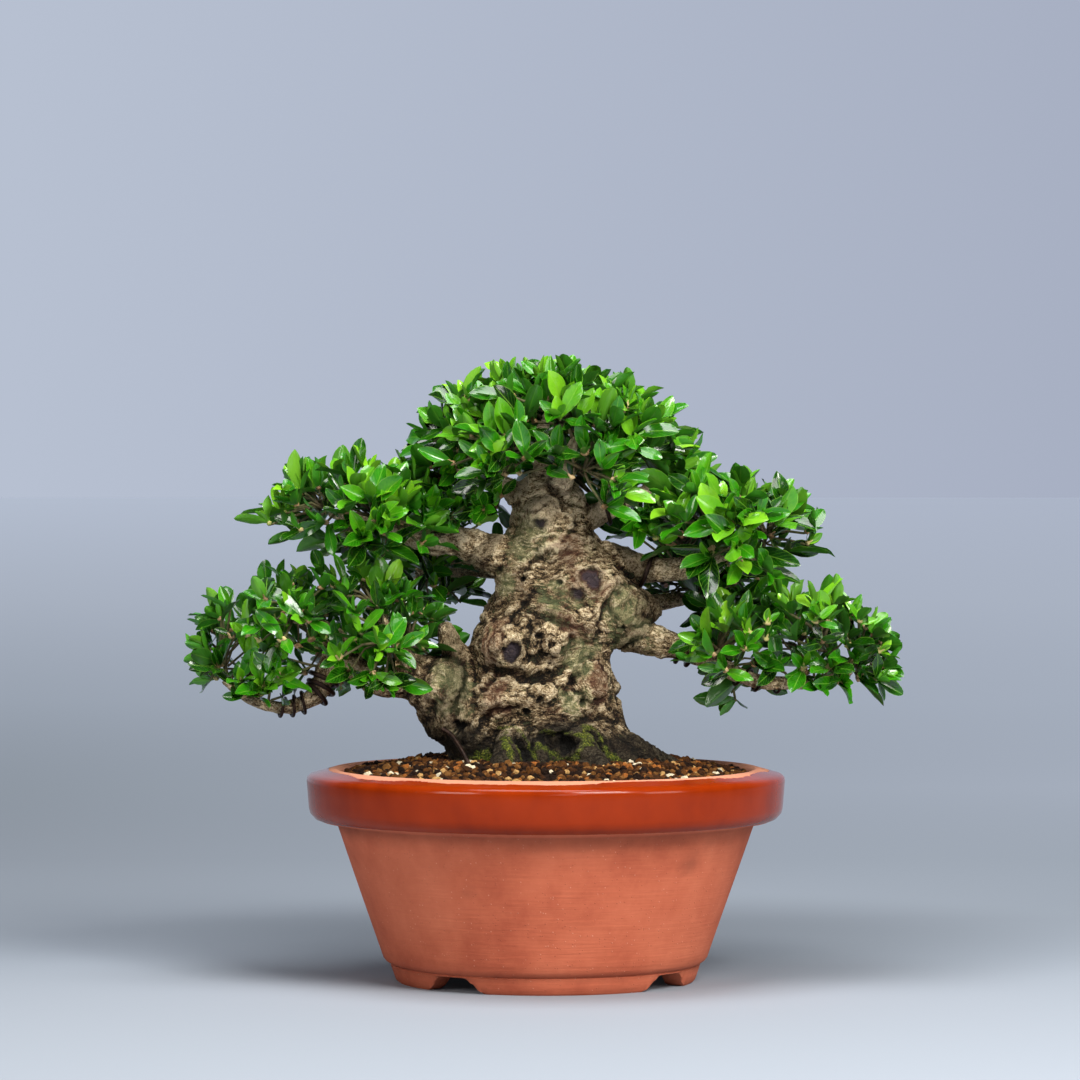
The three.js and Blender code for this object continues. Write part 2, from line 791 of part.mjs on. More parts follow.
/** The twig of a spray with its side twigs. */
function twigSolid({ seat, fork, tips }) {
  const bend = seat.clone().lerp(fork, 0.5);
  bend.z += 3;
  const knob = fork.clone().addScaledVector(fork.clone().sub(bend).normalize(), 1.5);
  const point = (place, radius) => [place.x, place.y, place.z, radius];
  let twig = tube(
    [point(seat, TWIG_RADIUS * 1.2), point(bend, TWIG_RADIUS), point(knob, TWIG_RADIUS * 1.3)],
    TWIG_SIDES,
  );
  for (const { tip } of tips) {
    const end = tip.clone().addScaledVector(tip.clone().sub(fork).normalize(), 2.8);
    twig = twig.add(tube([point(fork, 0.4), point(end, SIDE_TWIG_RADIUS)], TWIG_SIDES));
  }
  return twig;
}

/** One leaf of a rosette as it would grow, turned and raised by a try's bend. */
function bladeOf(plan, rosette, leaf, bend) {
  const { tip, axis } = plan.tips[rosette];
  const onward = tip.clone().sub(plan.fork).normalize();
  const [first, second] = crossDirections(axis);
  const pair = Math.floor(leaf / 2);
  const turn = Math.PI * (leaf % 2) + (Math.PI / 2) * pair + draw(plan.seed, rosette, 9) * Math.PI + bend[0];
  const size = (0.86 + 0.28 * draw(plan.seed, rosette, leaf, 1)) * (pair ? 0.9 : 1);
  const lean = radians(66 - 26 * pair + 14 * (draw(plan.seed, rosette, leaf, 2) - 0.5)) - bend[1];
  const flat = first.clone().multiplyScalar(Math.cos(turn)).addScaledVector(second, Math.sin(turn));
  return {
    root: tip.clone().addScaledVector(onward, pair * 0.9),
    along: flat.clone().multiplyScalar(Math.sin(lean)).addScaledVector(axis, Math.cos(lean)),
    up: axis.clone().multiplyScalar(Math.sin(lean)).addScaledVector(flat, -Math.cos(lean)),
    length: LEAF_LENGTH * size,
    width: LEAF_WIDTH * size,
  };
}

/** The leaves of a spray, each bent clear of the other pieces or left out where it can't be. */
function leavesOf(plan, others) {
  const leaves = [];
  for (let rosette = 0; rosette < SIDE_TWIGS; rosette++) {
    const neighbours = leaves.map((leaf) => boxed(leaf));
    for (let leaf = 0; leaf < PAIRS * 2; leaf++) {
      let fused = null;
      for (const bend of LEAF_BENDS) {
        const blade = bladeOf(plan, rosette, leaf, bend);
        if (meets(leafSolid({ ...blade, grow: GAP }), others)) {
          continue;
        }
        const solid = leafSolid(blade);
        fused = fused ?? solid;
        if (!meets(solid, neighbours)) {
          fused = solid;
          break;
        }
      }
      if (fused) {
        leaves.push(fused);
      }
    }
  }
  return leaves;
}

/** The largest body of a solid, without loose scraps. */
function largestBody(solid) {
  return solid.decompose().reduce((best, body) => (body.volume() > best.volume() ? body : best));
}

const plans = planSprays();
const twigs = plans.map((plan) => boxed(largestBody(twigSolid(plan).subtract(trunkSpace)), plan.name));
const fixed = [trunk, pot, soil, ...wires.map(([, wire]) => wire)].map((solid) => boxed(solid));
const grown = [];

addPiece("pot", pot, clay);
addPiece("drain_screen", screenSolid(), plastic);
addPiece("soil", soil, soilGrit);
addPiece("trunk", trunk, bark);
for (const [name, wire] of wires) {
  addPiece(name, wire, darkWire);
}
plans.forEach((plan, number) => {
  const strange = [...fixed, ...twigs.filter((twig) => twig.owner !== plan.name), ...grown];
  const leaves = leavesOf(plan, strange);
  let spray = twigs[number].solid;
  for (const leaf of leaves) {
    spray = spray.add(leaf);
    grown.push(boxed(leaf, plan.name));
  }
  addPiece(plan.name, spray, foliage);
});

export default model;
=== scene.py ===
"""A gardenia bonsai in a round training pot, with its finishes, in a plain studio.

The sizes are millimetres in this file and metres in the scene. +Z is up, the middle of the pot's foot
is the origin, and the front of the tree faces -Y.
"""

import logging
import math
from dataclasses import dataclass, field
from enum import Enum
from functools import partial
from typing import Any, Iterator, Sequence

import bpy
import numpy as np
from mathutils import Matrix, Vector, noise
from mathutils.bvhtree import BVHTree
from mathutils.kdtree import KDTree


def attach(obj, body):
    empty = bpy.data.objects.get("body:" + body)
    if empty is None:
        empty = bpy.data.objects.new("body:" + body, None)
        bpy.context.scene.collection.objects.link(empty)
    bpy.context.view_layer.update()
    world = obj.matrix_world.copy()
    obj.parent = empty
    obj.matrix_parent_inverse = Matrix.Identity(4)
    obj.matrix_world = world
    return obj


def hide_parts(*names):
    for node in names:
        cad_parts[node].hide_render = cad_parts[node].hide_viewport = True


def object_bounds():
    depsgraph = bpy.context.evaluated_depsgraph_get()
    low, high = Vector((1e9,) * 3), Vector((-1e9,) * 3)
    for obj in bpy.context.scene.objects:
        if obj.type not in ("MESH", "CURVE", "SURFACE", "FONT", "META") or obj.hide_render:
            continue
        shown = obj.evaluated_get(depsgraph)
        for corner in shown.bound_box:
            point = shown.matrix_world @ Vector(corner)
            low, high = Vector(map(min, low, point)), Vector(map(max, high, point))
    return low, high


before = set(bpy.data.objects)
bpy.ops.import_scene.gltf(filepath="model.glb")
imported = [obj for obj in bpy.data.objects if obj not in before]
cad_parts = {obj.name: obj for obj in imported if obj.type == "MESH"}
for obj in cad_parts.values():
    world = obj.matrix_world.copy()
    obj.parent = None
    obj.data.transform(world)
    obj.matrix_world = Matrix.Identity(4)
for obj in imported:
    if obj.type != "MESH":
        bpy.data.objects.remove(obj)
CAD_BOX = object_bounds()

log = logging.getLogger("bonsai")

MM = 0.001
GOLDEN_TURN = math.pi * (3 - math.sqrt(5))
SEED = 7

Numbers = Sequence[float]


def linear(colour: str) -> tuple[float, float, float, float]:
    """Turns an sRGB hex colour to linear red, green, blue and alpha.

    Args:
        colour: Six hex digits after a hash sign.

    Returns:
        The linear colour with alpha 1.
    """
    parts = [int(colour[k : k + 2], 16) / 255 for k in (1, 3, 5)]
    red, green, blue = (p / 12.92 if p <= 0.04045 else ((p + 0.055) / 1.055) ** 2.4 for p in parts)
    return red, green, blue, 1.0


def feed(node: Any, feeds: dict[Any, Any]) -> None:
    """Fills a node's inputs with links or plain values.

    Args:
        node: The node.
        feeds: For each input, by name or number, the value to set, the socket to link, or a node whose
            first output is linked.
    """
    for name, value in feeds.items():
        if isinstance(value, bpy.types.Node):
            value = value.outputs[0]
        if isinstance(value, bpy.types.NodeSocket):
            node.id_data.links.new(value, node.inputs[name])
        else:
            node.inputs[name].default_value = value


def add_node(
    tree: bpy.types.NodeTree, kind: str, feeds: dict[Any, Any] | None = None, **settings: Any
) -> Any:
    """Adds a node with its settings, and fills its inputs with links or plain values.

    Args:
        tree: The node tree.
        kind: The node's type name.
        feeds: What its inputs are fed, as in feed.
        settings: The node's own properties.

    Returns:
        The new node.
    """
    node = tree.nodes.new(kind)
    for name, value in settings.items():
        setattr(node, name, value)
    feed(node, feeds or {})
    return node


def set_stops(ramp: bpy.types.ShaderNodeValToRGB, stops: Sequence[tuple[float, str]]) -> None:
    """Sets the stops of a colour ramp.

    Args:
        ramp: The colour ramp node.
        stops: A place from 0 to 1 and an sRGB hex colour for each stop, in order.
    """
    elements = ramp.color_ramp.elements
    while len(elements) < len(stops):
        elements.new(0.5)
    for element, (place, colour) in zip(elements, stops):
        element.position = place
        element.color = linear(colour)


def new_material(name: str) -> tuple[bpy.types.Material, Any, Any]:
    """Makes a material with a Principled shader.

    Args:
        name: The finish's name.

    Returns:
        The material, a function that adds a node to it, and the shader node.
    """
    material = bpy.data.materials.new(name)
    material.use_nodes = True
    tree = material.node_tree
    return material, partial(add_node, tree), tree.nodes["Principled BSDF"]


def new_mesh(
    name: str, places: Any, faces: Sequence[Sequence[int]], edges: Sequence[Any] = ()
) -> bpy.types.Object:
    """Makes a mesh object from places in millimetres.

    Args:
        name: The object's name.
        places: The vertices' places.
        faces: Vertex numbers of each face.
        edges: Vertex numbers of each loose edge.

    Returns:
        The object, linked to the scene.
    """
    mesh = bpy.data.meshes.new(name)
    mesh.from_pydata((np.asarray(places, float) * MM).tolist(), list(edges), list(faces))
    mesh.polygons.foreach_set("use_smooth", [True] * len(mesh.polygons))
    made = bpy.data.objects.new(name, mesh)
    bpy.context.scene.collection.objects.link(made)
    return made


def places_of(mesh: bpy.types.Mesh) -> Any:
    """The vertices' places in millimetres as an array."""
    values = np.empty(len(mesh.vertices) * 3)
    mesh.vertices.foreach_get("co", values)
    return values.reshape(-1, 3) / MM


def store(mesh: bpy.types.Mesh, name: str, kind: str, values: Any, domain: str = "POINT") -> None:
    """Stores an attribute on a mesh.

    Args:
        mesh: The mesh.
        name: The attribute's name.
        kind: FLOAT, INT or FLOAT_VECTOR.
        values: One value, or one row of three, for each element.
        domain: The kind of element.
    """
    slot = "vector" if kind == "FLOAT_VECTOR" else "value"
    mesh.attributes.new(name, kind, domain).data.foreach_set(slot, np.asarray(values).ravel())


def geometry_tree(name: str, inputs: dict[str, str]) -> tuple[Any, Any, Any, Any]:
    """Starts a Geometry Nodes tree.

    Args:
        name: The tree's name.
        inputs: The socket type of each named input beside the geometry.

    Returns:
        The tree, a function that adds a node to it, its input node and its output node.
    """
    tree = bpy.data.node_groups.new(name, "GeometryNodeTree")
    tree.interface.new_socket("Geometry", in_out="INPUT", socket_type="NodeSocketGeometry")
    tree.interface.new_socket("Geometry", in_out="OUTPUT", socket_type="NodeSocketGeometry")
    for label, kind in inputs.items():
        tree.interface.new_socket(label, in_out="INPUT", socket_type=kind)
    source, result = tree.nodes.new("NodeGroupInput"), tree.nodes.new("NodeGroupOutput")
    return tree, partial(add_node, tree), source, result


def grow(made: bpy.types.Object, tree: Any, inputs: dict[str, Any]) -> None:
    """Runs a Geometry Nodes tree on an object and keeps the result as its plain mesh.

    Args:
        made: The object.
        tree: The Geometry Nodes tree.
        inputs: The value of each named input.
    """
    modifier = made.modifiers.new(tree.name, "NODES")
    modifier.node_group = tree
    for item in tree.interface.items_tree:
        if item.item_type == "SOCKET" and item.in_out == "INPUT" and item.name in inputs:
            modifier[item.identifier] = inputs[item.name]
    settle(made)


def settle(made: bpy.types.Object) -> None:
    """Keeps an object's evaluated mesh as its own, without its modifiers."""
    bpy.context.view_layer.update()
    evaluated = made.evaluated_get(bpy.context.evaluated_depsgraph_get())
    mesh = bpy.data.meshes.new_from_object(evaluated)
    made.modifiers.clear()
    old = made.data
    made.data = mesh
    bpy.data.meshes.remove(old)
    mesh.name = made.name


def place(made: bpy.types.Object, slot: str, nodes: Sequence[str]) -> None:
    """Hands a finished piece to the frame: it rides on the one body and stands for its CAD nodes.

    Args:
        made: The piece.
        slot: Not used.
        nodes: The CAD nodes that it stands for.
    """
    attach(made, "root")
    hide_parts(*nodes)
    triangles = sum(len(face.vertices) - 2 for face in made.data.polygons)
    log.info("%s: %d triangles", made.name, triangles)


def draw(a: float, b: float = 0, c: float = 0, d: float = 0) -> float:
    """A repeatable number from 0 to 1 for up to four whole numbers."""
    wave = math.sin(a * 12.9898 + b * 78.233 + c * 37.719 + d * 4.581) * 43758.5453
    return wave - math.floor(wave)


def unit(direction: Any) -> Any:
    """The direction with length 1."""
    return direction / np.linalg.norm(direction)


def cross_directions(direction: Any) -> tuple[Any, Any]:
    """Two directions that span the plane across a direction."""
    helper = np.array([0.0, 0.0, 1.0]) if abs(direction[2]) < 0.9 else np.array([1.0, 0.0, 0.0])
    first = unit(np.cross(helper, direction))
    return first, unit(np.cross(direction, first))


def drift(places: Any, size: float, seed: int) -> Any:
    """Smooth random directions over places.

    Args:
        places: The places.
        size: The size of the waves, in millimetres.
        seed: The number that the waves come from.

    Returns:
        A row of three from about -1 to 1 for each place.
    """
    shift = Vector((seed * 17.3, seed * 9.1, seed * 3.7))
    return np.array([noise.noise_vector(Vector(spot) / size + shift) for spot in places])


def smooth_step(value: Any, low: float, high: float) -> Any:
    """Rises smoothly from 0 at low to 1 at high."""
    share = np.clip((value - low) / (high - low), 0, 1)
    return share * share * (3 - 2 * share)


@dataclass
class Place:
    """A place on a limb: its middle, its direction, two cross directions and its radius."""

    middle: Any
    along: Any
    side: Any
    cross: Any
    radius: float


class LimbPath:
    """A smooth path through points of X, Y, Z and radius."""

    def __init__(self, points: Sequence[Numbers]) -> None:
        """Readies the path and carries a side direction along it."""
        self.points = np.array(points, float)
        self.last = len(points) - 1
        start = self.tangent(0.0)
        self.sides = [unit(np.array([0.0, 1.0, 0.0]) - start * start[1])]
        for k in range(1, self.last * 4 + 1):
            along = self.tangent(k / 4)
            previous = self.sides[-1]
            self.sides.append(unit(previous - along * previous.dot(along)))

    def point(self, at: float) -> Any:
        """The path's middle at a place counted in points, on a centripetal curve."""
        held = min(max(at, 0.0), float(self.last))
        k = min(int(held), self.last - 1)
        share = held - k
        p = self.points[:, :3]
        before = p[k - 1] if k > 0 else 2 * p[0] - p[1]
        after = p[k + 2] if k + 2 <= self.last else 2 * p[self.last] - p[self.last - 1]
        run = [before, p[k], p[k + 1], after]
        steps = [max(np.linalg.norm(run[j + 1] - run[j]), 1e-6) ** 0.5 for j in range(3)]
        leave = (run[1] - run[0]) / steps[0] - (run[2] - run[0]) / (steps[0] + steps[1])
        leave = (leave + (run[2] - run[1]) / steps[1]) * steps[1]
        arrive = (run[2] - run[1]) / steps[1] - (run[3] - run[1]) / (steps[1] + steps[2])
        arrive = (arrive + (run[3] - run[2]) / steps[2]) * steps[1]
        bend = -3 * run[1] + 3 * run[2] - 2 * leave - arrive
        twist = 2 * run[1] - 2 * run[2] + leave + arrive
        return run[1] + leave * share + bend * share**2 + twist * share**3

    def tangent(self, at: float) -> Any:
        """The path's direction at a place counted in points."""
        step = 1e-4 * self.last
        return unit(self.point(min(at + step, self.last)) - self.point(max(at - step, 0.0)))

    def at(self, place_on: float) -> Place:
        """The place on the limb at a count of points."""
        held = min(max(place_on, 0.0), float(self.last))
        k = min(int(held), self.last - 1)
        share = held - k
        along = self.tangent(held)
        side = self.sides[int(math.floor(held * 4 + 0.5))]
        side = unit(side - along * side.dot(along))
        radius = self.points[k, 3] * (1 - share) + self.points[k + 1, 3] * share
        return Place(self.point(held), along, side, np.cross(side, along), float(radius))


def tube_mesh(
    points: Sequence[Numbers], sides: int, finer: int, swell: float
) -> tuple[list[Any], list[Any]]:
    """A tapering tube with rounded ends.

    Args:
        points: Points of X, Y, Z and radius.
        sides: The number of sides.
        finer: The rings from one point to the next.
        swell: How uneven its radius is, as a share.

    Returns:
        The places and the faces.
    """
    path = LimbPath(points)
    rings = path.last * finer
    stations = [(0, -0.6, 0.7), *((k, 0.0, 1.0) for k in range(rings + 1)), (rings, 0.6, 0.7)]
    places, faces = [], []
    for number, (ring, beyond, share) in enumerate(stations):
        here = path.at(ring / finer)
        for side in range(sides):
            angle = side / sides * 2 * math.pi
            knobs = math.sin(number * 1.9 + angle) + math.sin(number * 0.83 - 2 * angle + len(points))
            spread = here.radius * share * (0.95 + swell * knobs * 0.5)
            out = here.side * math.cos(angle) + here.cross * math.sin(angle)
            places.append(here.middle + here.along * beyond * here.radius + out * spread)
    for ring in range(len(stations) - 1):
        for side in range(sides):
            low, high = ring * sides, (ring + 1) * sides
            after = (side + 1) % sides
            faces.append((low + side, high + side, high + after, low + after))
    faces.append(tuple(range(sides)))
    faces.append(tuple(reversed(range(len(places) - sides, len(places)))))
    return places, faces


LIMBS: dict[str, dict[str, Any]] = {
    "low_left": {
        "pad": "low_left", "carries": 2,
        "points": [
            (-36, -4, 154, 30), (-64, -7, 181, 25), (-84, -8, 190, 15), (-103, -10, 187, 9),
            (-119, -12, 197, 8.5), (-131, -12, 204, 8.2), (-137, -14, 193, 7.6), (-142, -16, 181, 6.4),
            (-153, -17, 174, 5), (-167, -18, 172, 4.2), (-184, -17, 177, 3.6), (-200, -14, 188, 2.8)
        ]
    },
    "low_left_upper": {
        "pad": "low_left", "carries": 2,
        "points": [
            (-112, -11, 191, 8), (-122, -8, 208, 6), (-135, -3, 220, 4.6), (-154, 2, 226, 3.6),
            (-176, 4, 229, 2.8)
        ]
    },
    "low_left_inner": {
        "pad": "low_left", "carries": 1,
        "points": [(-84, -8, 188, 9), (-88, -22, 204, 5.6), (-96, -28, 218, 4), (-104, -30, 230, 2.8)]
    },
    "stub": {"points": [(-52, -8, 198, 11), (-59, -9, 210, 7.5), (-63, -9, 221, 6)]},
    "mid_left_back": {
        "pad": "mid_left", "carries": 2,
        "points": [
            (4, 20, 250, 13), (-20, 40, 256, 8), (-48, 56, 257, 5.5), (-72, 68, 254, 4), (-84, 78, 252, 2.8)
        ]
    },
    "up_left": {
        "pad": "up_left", "carries": 2,
        "points": [
            (-14, 0, 262, 17), (-36, -2, 269, 12.5), (-54, -4, 275, 9.5), (-71, -5, 275, 8.4),
            (-80, -5, 278, 8), (-92, -6, 281, 5.8), (-111, -8, 287, 4.4), (-134, -10, 293, 3.2)
        ]
    },
    "up_right": {
        "pad": "up_right", "carries": 2,
        "points": [
            (26, 2, 262, 15), (46, -1, 263, 10.5), (62, -3, 258, 8.6), (84, -4, 258, 7.8), (98, -5, 262, 6),
            (118, -6, 265, 4.6), (138, -8, 268, 3.2)
        ]
    },
    "low_right": {
        "pad": "low_right", "carries": 3,
        "points": [
            (50, -8, 222, 16), (66, -12, 214, 11), (84, -14, 209, 7.4), (100, -15, 202, 6),
            (116, -15, 194, 5.4), (134, -16, 188, 4.8), (154, -16, 187, 4.4), (172, -15, 188, 3.8),
            (190, -13, 194, 2.8)
        ]
    },
    "low_right_back": {
        "pad": "mid_right", "carries": 2,
        "points": [
            (30, 18, 232, 13), (52, 32, 234, 8), (74, 48, 236, 5.6), (96, 60, 239, 4.2), (118, 68, 242, 3)
        ]
    },
    "crown_right": {
        "pad": "crown", "carries": 1,
        "points": [(12, -2, 284, 13), (34, -4, 293, 7.2), (52, -6, 302, 5.6), (70, -8, 308, 4.4)]
    },
    "crown_left": {
        "pad": "crown", "carries": 1,
        "points": [
            (-6, 2, 296, 12), (-24, 4, 309, 6.4), (-42, 4, 318, 5), (-60, 2, 324, 3.8), (-74, 0, 332, 2.8)
        ]
    },
    "crown_top": {
        "pad": "crown", "carries": 1,
        "points": [(2, 2, 304, 13), (0, 4, 323, 8), (-4, 6, 338, 6), (2, 8, 352, 4.6), (10, 8, 364, 3.2)]
    },
    "crown_front": {
        "pad": "crown", "carries": 1,
        "points": [(6, -6, 304, 11), (12, -22, 316, 6), (14, -36, 328, 4.6), (18, -48, 338, 3)]
    },
    "crown_back": {
        "pad": "crown", "carries": 1,
        "points": [(4, 8, 298, 12), (6, 26, 310, 6.6), (4, 42, 322, 5), (0, 56, 330, 3)]
    },
    "root_right": {
        "points": [
            (40, -10, 147, 17), (60, -13, 139, 12), (78, -16, 132, 9), (94, -19, 125, 6.5),
            (104, -21, 117, 5)
        ]
    },
    "root_front_left": {
        "points": [(-18, -36, 152, 13), (-25, -52, 140, 9), (-30, -64, 129, 7.5), (-32, -71, 118, 5)]
    },
    "root_front_right": {
        "points": [(22, -40, 146, 13), (31, -56, 136, 9), (39, -69, 127, 7), (43, -76, 117, 5)]
    },
    "root_back": {"points": [(14, 38, 150, 16), (18, 60, 138, 10), (20, 76, 128, 8), (20, 84, 117, 5)]}
}


class MarkKind(Enum):
    """What a mark on the bark is."""

    KNOT = "a raised knot with rings"
    HOLE = "a small deep hole with a raised ring"
    SCAR = "a sunken grey scar with a rolled lip"
    HOLLOW = "a large dark hollow"
    FOLD = "a long crease with a fold over it"
    MOSS = "a mossy patch"
    # A SHADE mark is a patch of painted shade, not a weathered one.
    SHADE = "a dark weathered patch"
    LICHEN = "a grey-green patch"
    RUST = "a red-brown patch"


@dataclass(frozen=True)
class Mark:
    """A mark on the bark, found by looking at the trunk from outside.

    Args:
        kind: What the mark is.
        turn: The compass angle that it is seen from, in degrees. The front is -90.
        across: How far it lies to the right of the trunk's axis from there.
        height: Its height above the ground.
        size: Half its width.
        tall: Half its height.
        depth: How deep or proud it is.
        tilt: How far it is turned, in degrees against the clock.
    """

    kind: MarkKind
    turn: float
    across: float
    height: float
    size: float
    tall: float
    depth: float
    tilt: float = 0.0


@dataclass(frozen=True)
class Bark:
    """Weathered gardenia bark. It is dull, with pale ridges from wear, creases darkened by painted shade, a
    head lightened by painted light, and mossy feet made darker by moisture and painted shade.
    """

    name: str = "weathered bark"
    stops: tuple[tuple[float, str], ...] = (
        (0.24, "#130c05"), (0.36, "#463520"), (0.46, "#7b664a"), (0.57, "#a7906c"), (0.72, "#e0cca8")
    )
    red: str = "#6b4332"
    lichen: str = "#828a5e"
    moss: str = "#5d6a19"
    scar: str = "#3d353b"
    foot_damp_and_shade: str = "#0b0804"
    grain_width: float = 2.3
    wave_width: float = 6.5
    crumb: float = 1.1
    roughness: float = 0.78

    def material(self) -> bpy.types.Material:
        """Makes the bark: wavy grain along the stored flow, with stored creases, scars, stains and moss."""
        material, add, shader = new_material(self.name)
        spot = add("ShaderNodeTexCoord").outputs["Object"]
        flow = add("ShaderNodeAttribute", attribute_name="bark_flow")
        cavity = add("ShaderNodeAttribute", attribute_name="cavity")
        marks = add("ShaderNodeAttribute", attribute_name="bark_marks")
        marks = add("ShaderNodeSeparateXYZ", {0: marks.outputs["Vector"]})
        stains = add("ShaderNodeAttribute", attribute_name="bark_stains")
        stains = add("ShaderNodeSeparateXYZ", {0: stains.outputs["Vector"]})
        warp = add("ShaderNodeTexNoise", {"Vector": spot, "Scale": 1 / (9 * MM), "Detail": 3.0})
        wander = add(
            "ShaderNodeVectorMath", {0: warp.outputs["Color"], 1: (9.0, 9.0, 9.0)}, operation="MULTIPLY"
        )
        bent = add("ShaderNodeVectorMath", {0: flow.outputs["Vector"], 1: wander})
        grain = add(
            "ShaderNodeTexNoise",
            {"Vector": bent, "Scale": 1 / self.grain_width, "Detail": 5.0, "Roughness": 0.68}
        )
        clouds = add(
            "ShaderNodeTexNoise", {"Vector": spot, "Scale": 1 / (21 * MM), "Detail": 5.0, "Roughness": 0.65}
        )
        # Wrinkles run side by side, as the height lines of slow waves do.
        waves = add(
            "ShaderNodeTexNoise",
            {"Vector": bent, "Scale": 1 / self.wave_width, "Detail": 2.0, "Roughness": 0.45}
        )
        wrinkles = add("ShaderNodeMath", {0: waves.outputs["Fac"], 1: 0.045}, operation="PINGPONG")
        wrinkles = add("ShaderNodeMapRange", {"Value": wrinkles, "From Min": 0.0, "From Max": 0.036})
        crumbs = add(
            "ShaderNodeTexNoise",
            {"Vector": spot, "Scale": 1 / (self.crumb * MM), "Detail": 3.0, "Roughness": 0.7}
        )
        # Ridges are pale from wear, and creases are darkened as painted shade.
        hollow = add(
            "ShaderNodeMapRange",
            {
                "Value": cavity.outputs["Fac"], "From Min": -0.7, "From Max": 0.7, "To Min": 0.1,
                "To Max": -0.26
            }
        )
        wear_light_and_shade = add("ShaderNodeMath", {0: hollow, 1: grain.outputs["Fac"]})
        wear_light_and_shade = add("ShaderNodeMath", {0: clouds.outputs["Fac"], 1: 0.5, 2: wear_light_and_shade}, operation="MULTIPLY_ADD")
        wear_light_and_shade = add("ShaderNodeMath", {0: crumbs.outputs["Fac"], 1: 0.75, 2: wear_light_and_shade}, operation="MULTIPLY_ADD")
        wear_light_and_shade = add("ShaderNodeMath", {0: wrinkles, 1: 0.15, 2: wear_light_and_shade}, operation="MULTIPLY_ADD")
        # Painted light: the head is made lighter towards the top of the trunk.
        level = add("ShaderNodeSeparateXYZ", {0: spot})
        head_painted_light = add(
            "ShaderNodeMapRange",
            {"Value": level.outputs["Z"], "From Min": 0.24, "From Max": 0.3, "To Max": 0.17}
        )
        wear_light_and_shade = add("ShaderNodeMath", {0: wear_light_and_shade, 1: head_painted_light})
        wear_light_and_shade = add("ShaderNodeMath", {0: wear_light_and_shade, 1: 0.71}, operation="SUBTRACT")
        ramp = add("ShaderNodeValToRGB", {0: wear_light_and_shade})
        set_stops(ramp, self.stops)
        tone = ramp.outputs[0]
        patches = add(
            "ShaderNodeTexNoise", {"Vector": spot, "Scale": 1 / (12 * MM), "Detail": 5.0, "Roughness": 0.7}
        )
        specks = add(
            "ShaderNodeMath", {0: grain.outputs["Fac"], 1: 0.6, 2: patches.outputs["Fac"]},
            operation="MULTIPLY_ADD"
        )
        reddish = add(
            "ShaderNodeMath", {0: stains.outputs["Y"], 1: 0.3, 2: specks}, operation="MULTIPLY_ADD"
        )
        greenish = add(
            "ShaderNodeMath", {0: stains.outputs["X"], 1: -0.3, 2: specks}, operation="MULTIPLY_ADD"
        )
        layers = (
            (reddish.outputs[0], 0.86, 1.06, 0.55, self.red),
            (greenish.outputs[0], 0.72, 0.5, 0.5, self.lichen)
        )
        for amount, start, full, most, colour in layers:
            share = add(
                "ShaderNodeMapRange", {"Value": amount, "From Min": start, "From Max": full, "To Max": most}
            )
            stained = add("ShaderNodeMix", {0: share, 6: tone, 7: linear(colour)}, data_type="RGBA")
            tone = stained.outputs[2]
        scarred = add(
            "ShaderNodeMix", {0: marks.outputs["Y"], 6: tone, 7: linear(self.scar)}, data_type="RGBA"
        )
        # Moisture and painted shade darken the foot towards a near-black brown.
        wet = add(
            "ShaderNodeMath", {0: patches.outputs["Fac"], 1: 1.1, 2: stains.outputs["Z"]},
            operation="MULTIPLY_ADD"
        )
        wet = add("ShaderNodeMapRange", {"Value": wet, "From Min": 0.56, "From Max": 1.15, "To Max": 0.92})
        foot_damp_and_shade = add("ShaderNodeMix", {0: wet, 6: scarred.outputs[2], 7: linear(self.foot_damp_and_shade)}, data_type="RGBA")
        fuzz = add(
            "ShaderNodeTexNoise", {"Vector": spot, "Scale": 1 / (4 * MM), "Detail": 5.0, "Roughness": 0.75}
        )
        mossy = add(
            "ShaderNodeMath", {0: marks.outputs["X"], 1: 0.5, 2: fuzz.outputs["Fac"]},
            operation="MULTIPLY_ADD"
        )
        mossy = add("ShaderNodeMath", {0: stains.outputs["Z"], 1: 0.13, 2: mossy}, operation="MULTIPLY_ADD")
        mossy = add(
            "ShaderNodeMapRange", {"Value": mossy, "From Min": 0.74, "From Max": 1.04, "To Max": 0.85}
        )
        moss_tone = add("ShaderNodeValToRGB", {0: crumbs.outputs["Fac"]})
        set_stops(moss_tone, [(0.38, "#12170a"), (0.57, self.moss), (0.74, "#b0a43c")])
        grown = add("ShaderNodeMix", {0: mossy, 6: foot_damp_and_shade.outputs[2], 7: moss_tone}, data_type="RGBA")
        # Painted shade darkens holes, hollows, grooves, knot rings, scar edges and SHADE patches.
        shaded = add(
            "ShaderNodeMix", {0: marks.outputs["Z"], 6: grown.outputs[2], 7: linear("#0b0905")},
            data_type="RGBA"
        )
        height = add(
            "ShaderNodeMath", {0: wrinkles, 1: 0.42, 2: grain.outputs["Fac"]}, operation="MULTIPLY_ADD"
        )
        relief = add("ShaderNodeBump", {"Height": height, "Strength": 1.0, "Distance": 2.0 * MM})
        fine = add(
            "ShaderNodeBump",
            {"Height": crumbs.outputs["Fac"], "Strength": 0.8, "Distance": 0.9 * MM, "Normal": relief}
        )
        feed(
            shader,
            {
                "Base Color": shaded.outputs[2], "Normal": fine, "Roughness": self.roughness,
                "Specular IOR Level": 0.2
            }
        )
        return material


